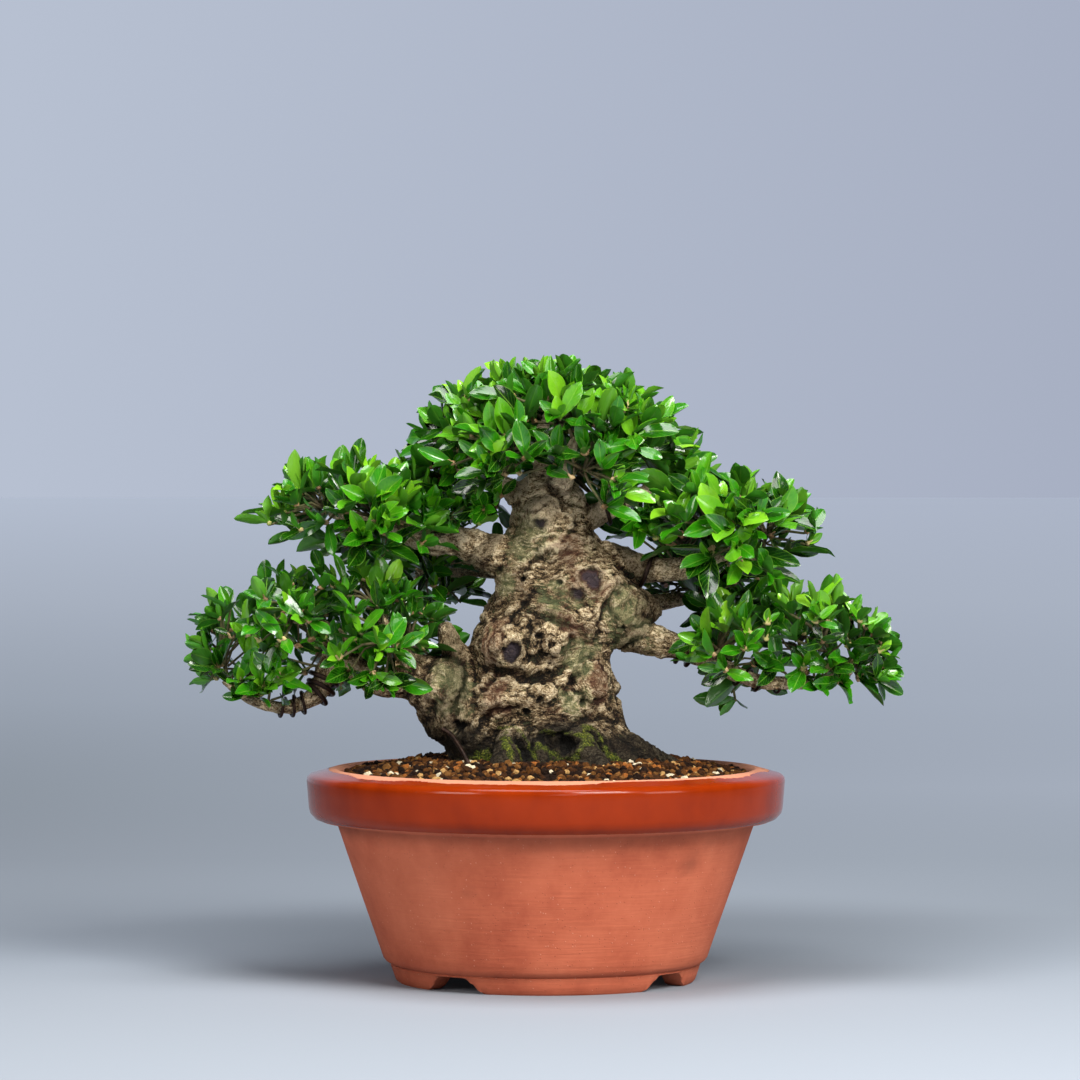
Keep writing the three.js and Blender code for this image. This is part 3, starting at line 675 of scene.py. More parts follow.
@dataclass
class Trunk:
    """The grown wood: root ball, surface roots, gnarled trunk and limbs.

    Args:
        rings: Height, middle X, middle Y, half width and half depth of each ring.
        buttresses: Compass angle, swell and angular width of each root's flare.
        burls: Compass angle, height, swell, angular width and height of each swelling.
        marks: The marks on the bark.
        voxel: The size of the grid that the shells are grown together on.
    """

    rings: tuple[Numbers, ...] = (
        (98, 4, 4, 40, 38), (114, 4, 3, 56, 50), (127, 5, 2, 65, 57), (138, 4, 2, 60, 53),
        (150, 2, 2, 53, 49), (163, 0, 2, 49, 46), (177, -2, 3, 47, 44), (190, -3, 4, 45, 42),
        (202, -3, 4, 43, 41), (214, 0, 4, 44, 40), (226, 5, 4, 46, 38), (238, 9, 4, 44, 37),
        (250, 9, 4, 42, 35), (261, 7, 3, 39, 32), (271, 5, 2, 34, 29), (281, 4, 1, 27, 26),
        (293, 2, 0, 23, 22), (305, 2, 0, 20, 19), (314, 1, 0, 14, 13), (318, 1, 0, 7, 6)
    )
    buttresses: tuple[Numbers, ...] = (
        (-158, 8, 13), (-114, 9, 9), (-97, 7, 8), (-66, 9, 9), (-36, 9, 12), (-4, 10, 12), (42, 9, 14),
        (88, 10, 13), (132, 9, 14), (172, 8, 12)
    )
    buttress_foot: float = 127
    buttress_top: float = 168
    burls: tuple[Numbers, ...] = (
        (-128, 213, 13, 24, 14), (-8, 230, 20, 30, 15), (-96, 181, 7, 22, 11), (-62, 224, 7, 20, 12),
        (-48, 249, 8, 24, 13), (-42, 190, 6, 20, 13), (-138, 178, 7, 18, 14), (-90, 292, 4, 60, 14),
        (-90, 238, -5, 40, 8), (-78, 168, -4, 30, 6), (-88, 147, -7, 12, 10), (120, 228, 9, 30, 16),
        (55, 202, 8, 26, 17)
    )
    marks: tuple[Mark, ...] = (
        Mark(MarkKind.FOLD, -90, 12, 303, 15, 5, 2.4, -24),
        Mark(MarkKind.FOLD, -90, -6, 297, 11, 3, 1.4, 18),
        Mark(MarkKind.SCAR, -90, -4, 287, 5.5, 3.4, 2.2, 10),
        Mark(MarkKind.FOLD, -90, 16, 283, 10, 3, 1.8, 70), Mark(MarkKind.KNOT, -90, 4, 271, 8, 6, 1.4),
        Mark(MarkKind.FOLD, -90, -2, 262, 26, 4, 2.2, 22),
        Mark(MarkKind.HOLE, -90, -13, 252, 3.2, 3.0, 3.4), Mark(MarkKind.HOLE, -90, 9, 250, 2.4, 2.4, 2.0),
        Mark(MarkKind.SCAR, -90, 28, 252, 6.5, 7.5, 2.8, 20),
        Mark(MarkKind.SCAR, -90, 20, 243, 5, 4, 1.6, -20), Mark(MarkKind.KNOT, -90, 25, 232, 4.5, 5.5, 2.6),
        Mark(MarkKind.HOLE, -90, 48, 222, 2.6, 2.2, 2.8), Mark(MarkKind.KNOT, -90, 53, 236, 13, 13, 2.0),
        Mark(MarkKind.FOLD, -90, 37, 232, 22, 4, 3.4, 78),
        Mark(MarkKind.FOLD, -90, 53, 211, 15, 3, 2.6, 14),
        Mark(MarkKind.FOLD, -90, 46, 204, 14, 3, 2.4, 20),
        Mark(MarkKind.FOLD, -90, 4, 229, 27, 5, 4.0, -38),
        Mark(MarkKind.FOLD, -90, -14, 236, 18, 4, 2.0, 28), Mark(MarkKind.KNOT, -90, -25, 213, 17, 15, 3.4),
        Mark(MarkKind.SCAR, -90, -21, 207, 6.5, 7, 4.0, 24),
        Mark(MarkKind.KNOT, -90, -30, 213, 4, 5.5, 2.6), Mark(MarkKind.KNOT, -90, 2, 214, 12, 11, 3.2),
        Mark(MarkKind.HOLE, -90, -5, 217, 3.0, 2.6, 3.6), Mark(MarkKind.KNOT, -90, 7, 209, 4.5, 4.5, 2.2),
        Mark(MarkKind.HOLE, -90, 0, 206, 1.8, 1.6, 2.2), Mark(MarkKind.FOLD, -90, -9, 196, 27, 6, 6.0, 8),
        Mark(MarkKind.FOLD, -90, 18, 188, 14, 5, 4.8, 76), Mark(MarkKind.KNOT, -90, 30, 189, 10, 13, 2.6),
        Mark(MarkKind.KNOT, -90, 0, 183, 8, 6.5, 3.0), Mark(MarkKind.HOLE, -90, -4, 177.5, 2.2, 1.8, 2.8),
        Mark(MarkKind.HOLE, -90, -12, 171, 2.6, 3.0, 3.6),
        Mark(MarkKind.HOLLOW, -90, 23, 176, 3.6, 3.6, 4.4),
        Mark(MarkKind.FOLD, -90, 16, 166, 34, 5, 3.6, -4),
        Mark(MarkKind.FOLD, -90, -30, 168, 20, 4, 2.6, 26),
        Mark(MarkKind.FOLD, -90, -36, 190, 18, 4, 2.6, 66), Mark(MarkKind.HOLLOW, -90, 13, 150, 10, 7, 5),
        Mark(MarkKind.HOLLOW, -90, -14, 150, 4.5, 12, 6, 12),
        Mark(MarkKind.HOLLOW, -90, 34, 149, 4.5, 12, 6, -14),
        Mark(MarkKind.FOLD, -90, 12, 160, 16, 4, 3.4, 0), Mark(MarkKind.KNOT, -90, -3, 145, 5, 8, 2.0),
        Mark(MarkKind.FOLD, -90, -52, 182, 22, 4, 4.0, 84), Mark(MarkKind.KNOT, -90, -63, 187, 11, 15, 1.6),
        Mark(MarkKind.SHADE, -90, -72, 166, 15, 9, 0, 40), Mark(MarkKind.HOLLOW, -90, -53, 160, 6, 5, 5),
        Mark(MarkKind.MOSS, -90, -40, 141, 11, 7, 0, 24), Mark(MarkKind.MOSS, -90, -24, 150, 3, 11, 0, 20),
        Mark(MarkKind.MOSS, -90, 44, 140, 9, 3, 0, -34), Mark(MarkKind.SHADE, -90, 64, 150, 34, 13, 0, -36),
        Mark(MarkKind.LICHEN, -90, -12, 280, 15, 20, 0), Mark(MarkKind.LICHEN, -90, 50, 231, 18, 22, 0),
        Mark(MarkKind.LICHEN, -90, 8, 238, 14, 14, 0), Mark(MarkKind.LICHEN, -90, -26, 250, 12, 12, 0),
        Mark(MarkKind.LICHEN, -90, 22, 206, 12, 16, 0), Mark(MarkKind.LICHEN, -90, -58, 186, 14, 22, 0),
        Mark(MarkKind.LICHEN, -90, 18, 176, 14, 10, 0), Mark(MarkKind.RUST, -90, 25, 249, 16, 13, 0),
        Mark(MarkKind.RUST, -90, -33, 216, 9, 16, 0), Mark(MarkKind.RUST, -90, 14, 224, 20, 5, 0, -38),
        Mark(MarkKind.RUST, -90, -32, 180, 9, 15, 0), Mark(MarkKind.RUST, -90, 14, 272, 12, 12, 0),
        Mark(MarkKind.RUST, -90, 34, 186, 10, 14, 0), Mark(MarkKind.RUST, -90, 60, 158, 16, 10, 0),
        Mark(MarkKind.KNOT, -90, -66, 276, 8, 7, 1.8), Mark(MarkKind.KNOT, 92, 8, 262, 10, 9, 2.6),
        Mark(MarkKind.SCAR, 84, -14, 214, 12, 16, 3.0, 12), Mark(MarkKind.FOLD, 90, 6, 190, 26, 5, 4.0, -8),
        Mark(MarkKind.FOLD, 96, 2, 236, 22, 5, 3.0, 24), Mark(MarkKind.HOLE, 70, 10, 238, 3, 3, 4.0),
        Mark(MarkKind.KNOT, 112, 6, 178, 8, 7, 2.4), Mark(MarkKind.KNOT, 40, 2, 200, 13, 12, 3.0),
        Mark(MarkKind.SCAR, 10, 6, 192, 7, 9, 2.2), Mark(MarkKind.FOLD, 20, 0, 176, 24, 5, 3.6, 6),
        Mark(MarkKind.FOLD, 8, 4, 246, 18, 4, 2.6, -30), Mark(MarkKind.HOLE, 32, -4, 250, 3, 3, 3.4),
        Mark(MarkKind.KNOT, 150, 0, 236, 11, 10, 2.8), Mark(MarkKind.SCAR, 166, 8, 262, 6, 8, 2.0),
        Mark(MarkKind.FOLD, 140, 0, 206, 22, 5, 3.6, 10), Mark(MarkKind.FOLD, 176, 2, 228, 20, 4, 2.6, -20),
        Mark(MarkKind.LICHEN, 60, 0, 222, 26, 22, 0), Mark(MarkKind.LICHEN, 150, 4, 262, 20, 24, 0),
        Mark(MarkKind.RUST, 110, 0, 196, 22, 16, 0), Mark(MarkKind.MOSS, 60, 0, 146, 20, 12, 0),
        Mark(MarkKind.MOSS, 150, 0, 148, 22, 12, 0), Mark(MarkKind.HOLLOW, 104, -6, 152, 8, 7, 6)
    )
    voxel: float = 1.34
    sides: int = 144
    ring_step: float = 1.6
    finish: Bark = field(default_factory=Bark)

    def swell(self, angle: Any, height: float) -> Any:
        """How far roots, burls and lumps swell the trunk outwards.

        Args:
            angle: The compass angles, in radians.
            height: The height.

        Returns:
            The swell at each angle.
        """
        rise = (self.buttress_top - height) / (self.buttress_top - self.buttress_foot)
        fade = min(max(rise, 0.0), 1.0) ** 1.4
        roots = np.full_like(angle, -3.0)
        for middle, size, width in self.buttresses:
            off = np.angle(np.exp(1j * (angle - math.radians(middle))))
            roots += size * np.exp(-((off / math.radians(width)) ** 2))
        burls = 1.3 * np.sin(3 * angle + height / 9) + 1.1 * np.sin(5 * angle - height / 14)
        for middle, level, size, width, tall in self.burls:
            off = np.angle(np.exp(1j * (angle - math.radians(middle))))
            burls += size * np.exp(-((off / math.radians(width)) ** 2) - ((height - level) / tall) ** 2)
        return fade * roots + burls

    def shell(self) -> tuple[list[Any], list[Any]]:
        """The trunk without its limbs, as rings that follow the table smoothly.

        Returns:
            The places and the faces.
        """
        table = np.array(self.rings, float)
        heights = np.append(np.arange(table[0, 0], table[-1, 0], self.ring_step), table[-1, 0])
        slopes = np.gradient(table[:, 1:], table[:, 0], axis=0)
        angle = np.arange(self.sides) / self.sides * 2 * math.pi
        places, faces = [], []
        for height in heights:
            k = min(int(np.searchsorted(table[:, 0], height, side="right")) - 1, len(table) - 2)
            span = table[k + 1, 0] - table[k, 0]
            t = (height - table[k, 0]) / span
            ease = (2 * t**3 - 3 * t**2 + 1, t**3 - 2 * t**2 + t, 3 * t**2 - 2 * t**3, t**3 - t**2)
            row = ease[0] * table[k, 1:] + ease[1] * span * slopes[k]
            row = row + ease[2] * table[k + 1, 1:] + ease[3] * span * slopes[k + 1]
            swell = self.swell(angle, float(height))
            x = row[0] + (row[2] + swell) * np.cos(angle)
            y = row[1] + (row[3] + swell) * np.sin(angle)
            places.extend(np.column_stack([x, y, np.full_like(x, height)]))
        count = self.sides
        for ring in range(len(heights) - 1):
            low, high = ring * count, (ring + 1) * count
            for side in range(count):
                after = (side + 1) % count
                faces.append((low + side, low + after, high + after, high + side))
        faces.append(tuple(reversed(range(count))))
        faces.append(tuple(range(len(places) - count, len(places))))
        return places, faces

    def flow(self, places: Any, centres: Sequence[tuple[Mark, Any]]) -> tuple[Any, Any]:
        """The grain's own coordinates: it runs round the trunk, along the limbs and past the knots.

        Args:
            places: The vertices.
            centres: Each mark with its centre on the bark.

        Returns:
            A row of three for each vertex, close together along the grain, and how stout the wood is there.
        """
        level = places[:, 2].copy()
        bent = places + 2.2 * drift(places, 9, 3)
        for mark, centre in centres:
            if mark.kind in (MarkKind.FOLD, MarkKind.MOSS, MarkKind.SHADE, MarkKind.LICHEN, MarkKind.RUST):
                continue
            reach = (mark.size + mark.tall) / 2
            away = np.linalg.norm(bent - centre, axis=1)
            above = places[:, 2] - centre[2]
            level -= above * reach**2 / (away**2 + 0.3 * reach**2) * np.exp(-((away / (3 * reach)) ** 2))
            inside = 1 - smooth_step(away, 0.6 * reach, 1.3 * reach)
            level = level * (1 - inside) + (centre[2] + away * 0.9) * inside
        round_trunk = np.column_stack([places[:, 0] * 0.24, places[:, 1] * 0.24, level])
        spots: list[tuple[Place, float]] = []
        for limb in LIMBS.values():
            path = LimbPath(limb["points"])
            steps = path.last * 8
            run = 0.0
            before = path.point(0.0)
            for step in range(steps + 1):
                here = path.at(step / 8)
                run += float(np.linalg.norm(here.middle - before))
                before = here.middle
                spots.append((here, run))
        tree = KDTree(len(spots))
        for number, (here, _) in enumerate(spots):
            tree.insert(here.middle, number)
        tree.balance()
        nearest = np.array([tree.find(place_on)[1] for place_on in places])
        middles = np.array([here.middle for here, _ in spots])[nearest]
        frames = np.array([[here.side, here.cross, here.along] for here, _ in spots])[nearest]
        runs = np.array([run for _, run in spots])[nearest]
        local = np.einsum("nij,nj->ni", frames, places - middles)
        along_limb = np.column_stack([local[:, 0], local[:, 1], (runs + local[:, 2]) * 0.42])
        table = np.array(self.rings, float)
        half = np.interp(places[:, 2], table[:, 0], table[:, 3])
        middle = np.interp(places[:, 2], table[:, 0], table[:, 1])
        out = np.hypot(places[:, 0] - middle, places[:, 1] - 2) / np.maximum(half, 14)
        share = smooth_step(out, 1.15, 1.5)[:, None]
        radii = np.array([here.radius for here, _ in spots])[nearest]
        stout = np.clip(radii / 15, 0.34, 1) * share[:, 0] + (1 - share[:, 0])
        return round_trunk * (1 - share) + along_limb * share, stout

    def carve(
        self, places: Any, normals: Any, centres: Sequence[tuple[Mark, Any, Any]]
    ) -> tuple[Any, dict[str, Any]]:
        """Presses the marks into the bark.

        Args:
            places: The vertices.
            normals: Their outward directions.
            centres: Each mark with its centre on the bark and the direction that it faces.

        Returns:
            How far each vertex moves outwards, and its share of each stain and of painted shade, from 0 to
            1.
        """
        push = np.zeros(len(places))
        tones = {kind: np.zeros(len(places)) for kind in ("moss", "scar", "dark", "lichen", "rust")}
        bend = 0.75 * drift(places, 8, 1) + 0.4 * drift(places, 3.5, 2)
        for mark, centre, facing in centres:
            across = unit(np.cross([0.0, 0.0, 1.0], facing))
            upward = np.cross(facing, across)
            turned = math.radians(mark.tilt)
            right = across * math.cos(turned) + upward * math.sin(turned)
            top = upward * math.cos(turned) - across * math.sin(turned)
            off = places - centre + bend * min(mark.size, mark.tall) * 0.62
            near = (normals @ facing > -0.2) & (np.abs(off @ facing) < 1.3 * max(mark.size, mark.tall) + 4)
            a = off @ right / mark.size
            b = off @ top / mark.tall
            r = np.hypot(a, b)
            # dark is painted shade: in holes, hollows and fold grooves, round knots, at scar edges and over
            # SHADE patches.
            dark = np.zeros(len(places))
            if mark.kind is MarkKind.KNOT:
                rings = np.cos(r * 2 * math.pi * max(mark.size / 4.5, 1.2)) * np.exp(-(r**2))
                push += near * (mark.depth * np.exp(-((r / 0.9) ** 4)) * 0.8 + 0.32 * rings)
                push -= near * 0.5 * mark.depth * np.exp(-(((r - 1.15) / 0.2) ** 2))
                dark = 0.42 * np.exp(-(((r - 1.15) / 0.16) ** 2))
            elif mark.kind is MarkKind.HOLE:
                lip = np.exp(-(((r - 1.1) / 0.4) ** 2))
                push += near * (0.22 * mark.depth * lip - mark.depth * np.exp(-((r / 0.7) ** 4)))
                dark = 0.95 * np.exp(-((r / 0.72) ** 4))
            elif mark.kind is MarkKind.SCAR:
                lip = np.exp(-(((r - 1.1) / 0.25) ** 2))
                push += near * mark.depth * (0.35 * lip - (1 - smooth_step(r, 0.7, 1.05)))
                tones["scar"] = np.maximum(tones["scar"], near * 0.9 * (1 - smooth_step(r, 0.55, 0.95)))
                dark = 0.5 * np.exp(-(((r - 0.95) / 0.14) ** 2))
            elif mark.kind is MarkKind.HOLLOW:
                push -= near * mark.depth * (1 - smooth_step(r, 0.3, 1.1))
                dark = 0.93 * (1 - smooth_step(r, 0.35, 1.05))
                brim = 0.8 * np.exp(-(((r - 1.2) / 0.25) ** 2)) * (mark.height < 160)
                tones["moss"] = np.maximum(tones["moss"], near * brim)
            elif mark.kind is MarkKind.FOLD:
                ends = np.clip(1 - a**2, 0, 1)
                sway = b + 0.9 * np.sin(2.6 * a + mark.height)
                groove = np.exp(-((sway * 1.9) ** 2)) * ends
                brow = np.exp(-(((sway - 1.1) / 0.75) ** 2)) * ends
                push += near * mark.depth * (0.6 * brow - 0.85 * groove)
                dark = 0.55 * groove
            elif mark.kind is MarkKind.SHADE:
                dark = 0.6 * np.exp(-((r / 0.95) ** 4))
            else:
                name = mark.kind.name.lower()
                tones[name] = np.maximum(tones[name], near * np.exp(-((r / 0.95) ** 4)))
            tones["dark"] = np.maximum(tones["dark"], near * dark)
        return push, tones

    def relief_tree(self) -> Any:
        """The Geometry Nodes tree that raises the grain and folds of the bark and notes its creases.

        Returns:
            The tree, with the depths of folds and grain as its inputs.
        """
        tree, add, source, result = geometry_tree(
            "bark relief",
            {
                "Fold Depth": "NodeSocketFloat", "Grain Depth": "NodeSocketFloat",
                "Lump Depth": "NodeSocketFloat", "Bark": "NodeSocketMaterial"
            }
        )
        flow = add("GeometryNodeInputNamedAttribute", {0: "bark_flow"}, data_type="FLOAT_VECTOR")
        stout = add("GeometryNodeInputNamedAttribute", {0: "stoutness"}, data_type="FLOAT")
        spot = add("GeometryNodeInputPosition")
        warp = add("ShaderNodeTexNoise", {"Vector": spot, "Scale": 1 / (22 * MM), "Detail": 3.0})
        wander = add(
            "ShaderNodeVectorMath", {0: warp.outputs["Color"], 1: (18.0, 18.0, 18.0)}, operation="MULTIPLY"
        )
        bent = add("ShaderNodeVectorMath", {0: flow, 1: wander})
        folds = add(
            "ShaderNodeTexNoise", {"Vector": bent, "Scale": 1 / 7.0, "Detail": 2.0, "Roughness": 0.5}
        )
        slow = add(
            "ShaderNodeTexNoise", {"Vector": bent, "Scale": 1 / 13.0, "Detail": 2.0, "Roughness": 0.5}
        )
        steps = add("ShaderNodeMath", {0: slow.outputs["Fac"], 1: 0.07}, operation="PINGPONG")
        grain = add("ShaderNodeMapRange", {"Value": steps, "From Min": 0.0, "From Max": 0.05})
        squat = add("ShaderNodeVectorMath", {0: wander, 1: (0.45, 0.45, 0.45)}, operation="MULTIPLY")
        in_mm = add("ShaderNodeVectorMath", {0: spot, 1: (700.0, 700.0, 1000.0)}, operation="MULTIPLY")
        crumpled = add("ShaderNodeVectorMath", {0: in_mm, 1: squat})
        lumps = add(
            "ShaderNodeTexVoronoi", {"Vector": crumpled, "Scale": 1 / 10.5, "Smoothness": 0.4},
            feature="SMOOTH_F1"
        )
        lumps = add("ShaderNodeMath", {0: 1.0, 1: lumps.outputs["Distance"]}, operation="SUBTRACT")
        lift = None
        depths = (
            (folds.outputs["Fac"], "Fold Depth"), (grain.outputs[0], "Grain Depth"),
            (lumps.outputs[0], "Lump Depth")
        )
        for wave, depth in depths:
            centred = add("ShaderNodeMath", {0: wave, 1: 0.5}, operation="SUBTRACT")
            scaled = add("ShaderNodeMath", {0: centred, 1: source.outputs[depth]}, operation="MULTIPLY")
            lift = scaled if lift is None else add("ShaderNodeMath", {0: lift, 1: scaled})
        lift = add("ShaderNodeMath", {0: lift, 1: stout}, operation="MULTIPLY")
        normal = add("GeometryNodeInputNormal")
        offset = add("ShaderNodeVectorMath", {0: normal, "Scale": lift}, operation="SCALE")
        raised = add("GeometryNodeSetPosition", {"Geometry": source.outputs["Geometry"], "Offset": offset})
        here = add("GeometryNodeInputPosition")
        blurred = add(
            "GeometryNodeBlurAttribute", {"Value": here, "Iterations": 14}, data_type="FLOAT_VECTOR"
        )
        rise = add("ShaderNodeVectorMath", {0: blurred, 1: here}, operation="SUBTRACT")
        out = add("GeometryNodeInputNormal")
        sunk = add("ShaderNodeVectorMath", {0: rise, 1: out}, operation="DOT_PRODUCT")
        in_mm = add("ShaderNodeMath", {0: sunk.outputs["Value"], 1: 1 / MM}, operation="MULTIPLY")
        noted = add(
            "GeometryNodeStoreNamedAttribute", {"Geometry": raised, "Name": "cavity", "Value": in_mm},
            data_type="FLOAT", domain="POINT"
        )
        whole = add("GeometryNodeRealizeInstances", {0: noted})
        dressed = add("GeometryNodeSetMaterial", {"Geometry": whole, "Material": source.outputs["Bark"]})
        feed(result, {0: dressed})
        return tree

    def build(self) -> bpy.types.Object:
        """Grows the shells together, carves the marks and raises the bark.

        Returns:
            The finished trunk.
        """
        places, faces = self.shell()
        for name, limb in LIMBS.items():
            swell = 0.05 if name.startswith("root") else 0.1
            more, rings = tube_mesh(limb["points"], 20, 6, swell)
            faces.extend(tuple(k + len(places) for k in ring) for ring in rings)
            places.extend(more)
        made = new_mesh("trunk_wood", places, faces)
        remesh = made.modifiers.new("one skin", "REMESH")
        remesh.mode = "VOXEL"
        remesh.voxel_size = self.voxel * MM
        relax = made.modifiers.new("soft joins", "SMOOTH")
        relax.factor = 0.5
        relax.iterations = 5
        settle(made)
        mesh = made.data
        skin = places_of(mesh)
        normals = np.array([vertex.normal for vertex in mesh.vertices])
        tree = BVHTree.FromPolygons(skin.tolist(), [tuple(face.vertices) for face in mesh.polygons])
        centres = []
        for mark in self.marks:
            facing = math.radians(mark.turn)
            inward = Vector((-math.cos(facing), -math.sin(facing), 0))
            sideways = Vector((-math.sin(facing), math.cos(facing), 0))
            start = sideways * mark.across - inward * 220 + Vector((0, 0, mark.height))
            hit, normal, _, _ = tree.ray_cast(start, inward)
            if hit is None:
                log.warning("a mark finds no bark: %s", mark)
                continue
            flat = unit(np.array([normal[0], normal[1], normal[2] * 0.6]))
            centres.append((mark, np.array(hit), flat))
        push, tones = self.carve(skin, normals, centres)
        grain, stout = self.flow(skin, [(mark, centre) for mark, centre, _ in centres])
        store(mesh, "bark_flow", "FLOAT_VECTOR", grain)
        store(mesh, "stoutness", "FLOAT", stout)
        # Darker towards the foot, near the soil: moisture and painted shade.
        foot_damp_and_shade = 1 - smooth_step(skin[:, 2] + 9 * drift(skin, 16, 5)[:, 2], 142, 172)
        # The third column of the marks is painted shade.
        store(
            mesh, "bark_marks", "FLOAT_VECTOR",
            np.column_stack([tones["moss"], tones["scar"], tones["dark"]])
        )
        store(mesh, "bark_stains", "FLOAT_VECTOR", np.column_stack([tones["lichen"], tones["rust"], foot_damp_and_shade]))
        moved = (skin + normals * push[:, None]) * MM
        mesh.vertices.foreach_set("co", moved.ravel())
        mesh.update()
        mesh.materials.append(self.finish.material())
        grow(
            made, self.relief_tree(),
            {
                "Fold Depth": 2.2 * MM, "Grain Depth": 1.1 * MM, "Lump Depth": 0.5 * MM,
                "Bark": mesh.materials[0]
            }
        )
        made.data.polygons.foreach_set("use_smooth", [True] * len(made.data.polygons))
        place(made, "bark", ["trunk"])
        return made


@dataclass(frozen=True)
class LeafSkin:
    """Living gardenia leaf. It is waxy and glossy above with a pale midrib, and dull and pale below."""

    name: str = "gardenia leaf"
    old: str = "#042301"
    grown: str = "#2b7f05"
    young: str = "#90d02a"
    rib: str = "#83b83c"
    under: str = "#347216"
    roughness: float = 0.24

    def material(self) -> bpy.types.Material:
        """Makes the leaf: colour by its stored tone, from ageing and painted shade by depth, with midrib,
        side veins and margin on its own UV map.
        """
        material, add, shader = new_material(self.name)
        age_and_depth_shade = add("ShaderNodeAttribute", attribute_name="tone")
        side = add("ShaderNodeAttribute", attribute_name="underside")
        uv = add("ShaderNodeUVMap", uv_map="blade")
        parts = add("ShaderNodeSeparateXYZ", {0: uv})
        spot = add("ShaderNodeTexCoord").outputs["Object"]
        mottle = add(
            "ShaderNodeTexNoise", {"Vector": spot, "Scale": 1 / (9 * MM), "Detail": 3.0, "Roughness": 0.6}
        )
        shift = add(
            "ShaderNodeMath", {0: mottle.outputs["Fac"], 1: 0.3, 2: age_and_depth_shade.outputs["Fac"]},
            operation="MULTIPLY_ADD"
        )
        body = add("ShaderNodeValToRGB", {0: shift})
        set_stops(body, [(0.2, self.old), (0.52, self.grown), (1.0, self.young)])
        middle = add("ShaderNodeMath", {0: parts.outputs["X"], 1: 0.5}, operation="SUBTRACT")
        away = add("ShaderNodeMath", {0: middle}, operation="ABSOLUTE")
        # The midrib is about 0.7 mm wide and narrows to the tip.
        rib = add(
            "ShaderNodeMapRange", {"Value": away, "From Min": 0.045, "From Max": 0.012, "To Max": 0.4}
        )
        # Side veins leave the midrib every 3 mm or so and sweep forwards.
        sweep = add("ShaderNodeMath", {0: away, 1: -0.62, 2: parts.outputs["Y"]}, operation="MULTIPLY_ADD")
        wave = add("ShaderNodeMath", {0: sweep, 1: 52.0}, operation="MULTIPLY")
        wave = add("ShaderNodeMath", {0: wave}, operation="SINE")
        vein = add("ShaderNodeMapRange", {"Value": wave, "From Min": 0.7, "From Max": 1.0, "To Max": 0.1})
        edge = add("ShaderNodeMapRange", {"Value": away, "From Min": 0.45, "From Max": 0.49, "To Max": 0.5})
        lines = add("ShaderNodeMath", {0: rib, 1: vein}, operation="MAXIMUM")
        lines = add("ShaderNodeMath", {0: lines, 1: edge}, operation="MAXIMUM")
        drawn = add("ShaderNodeMix", {0: lines, 6: body, 7: linear(self.rib)}, data_type="RGBA")
        below = add(
            "ShaderNodeMapRange",
            {"Value": side.outputs["Fac"], "From Min": 0.0, "From Max": 1.0, "To Max": 0.55}
        )
        sided = add(
            "ShaderNodeMix", {0: below, 6: drawn.outputs[2], 7: linear(self.under)}, data_type="RGBA"
        )
        dull = add(
            "ShaderNodeMapRange", {"Value": side.outputs["Fac"], "To Min": self.roughness, "To Max": 0.52}
        )
        quilt = add("ShaderNodeMath", {0: wave, 1: -0.12, 2: rib}, operation="MULTIPLY_ADD")
        relief = add(
            "ShaderNodeBump", {"Height": quilt, "Strength": 0.35, "Distance": 0.3 * MM}, invert=True
        )
        feed(
            shader,
            {
                "Base Color": sided.outputs[2], "Roughness": dull, "Normal": relief, "IOR": 1.4,
                "Coat Weight": 0.6, "Coat Roughness": 0.12
            }
        )
        return material


@dataclass(frozen=True)
class TwigSkin:
    """Young gardenia twig. It is dull brown with pale rings, and greener towards its tip."""

    name: str = "young twig bark"
    dark: str = "#2a1c13"
    pale: str = "#67503a"
    green: str = "#5d7a32"

    def material(self) -> bpy.types.Material:
        """Makes the twig: mottled brown that turns green by its stored tone."""
        material, add, shader = new_material(self.name)
        spot = add("ShaderNodeTexCoord").outputs["Object"]
        tone = add("ShaderNodeAttribute", attribute_name="tone")
        mottle = add(
            "ShaderNodeTexNoise",
            {"Vector": spot, "Scale": 1 / (2.2 * MM), "Detail": 4.0, "Roughness": 0.65}
        )
        ramp = add("ShaderNodeValToRGB", {0: mottle.outputs["Fac"]})
        set_stops(ramp, [(0.34, self.dark), (0.66, self.pale)])
        mixed = add(
            "ShaderNodeMix", {0: tone.outputs["Fac"], 6: ramp, 7: linear(self.green)}, data_type="RGBA"
        )
        relief = add(
            "ShaderNodeBump", {"Height": mottle.outputs["Fac"], "Strength": 0.6, "Distance": 0.5 * MM}
        )
        feed(shader, {"Base Color": mixed.outputs[2], "Normal": relief, "Roughness": 0.75})
        return material


@dataclass(frozen=True)
class BudSkin:
    """Bud scales. They are papery, pale brown at the base and yellow-green at the point."""

    name: str = "bud scale"

    def material(self) -> bpy.types.Material:
        """Makes the bud scale: pale brown to yellow-green by its stored tone."""
        material, add, shader = new_material(self.name)
        spot = add("ShaderNodeTexCoord").outputs["Object"]
        tone = add("ShaderNodeAttribute", attribute_name="tone")
        mottle = add("ShaderNodeTexNoise", {"Vector": spot, "Scale": 1 / (1.6 * MM), "Detail": 3.0})
        mixed = add(
            "ShaderNodeMath", {0: mottle.outputs["Fac"], 1: 0.5, 2: tone.outputs["Fac"]},
            operation="MULTIPLY_ADD"
        )
        ramp = add("ShaderNodeValToRGB", {0: mixed})
        set_stops(
            ramp,
            [(0.2, "#4e3420"), (0.45, "#96744c"), (0.65, "#c4a87c"), (0.85, "#a5b552"), (1.0, "#7fae34")]
        )
        relief = add(
            "ShaderNodeBump", {"Height": mottle.outputs["Fac"], "Strength": 0.5, "Distance": 0.4 * MM}
        )
        feed(shader, {"Base Color": ramp, "Normal": relief, "Roughness": 0.62})
        return material


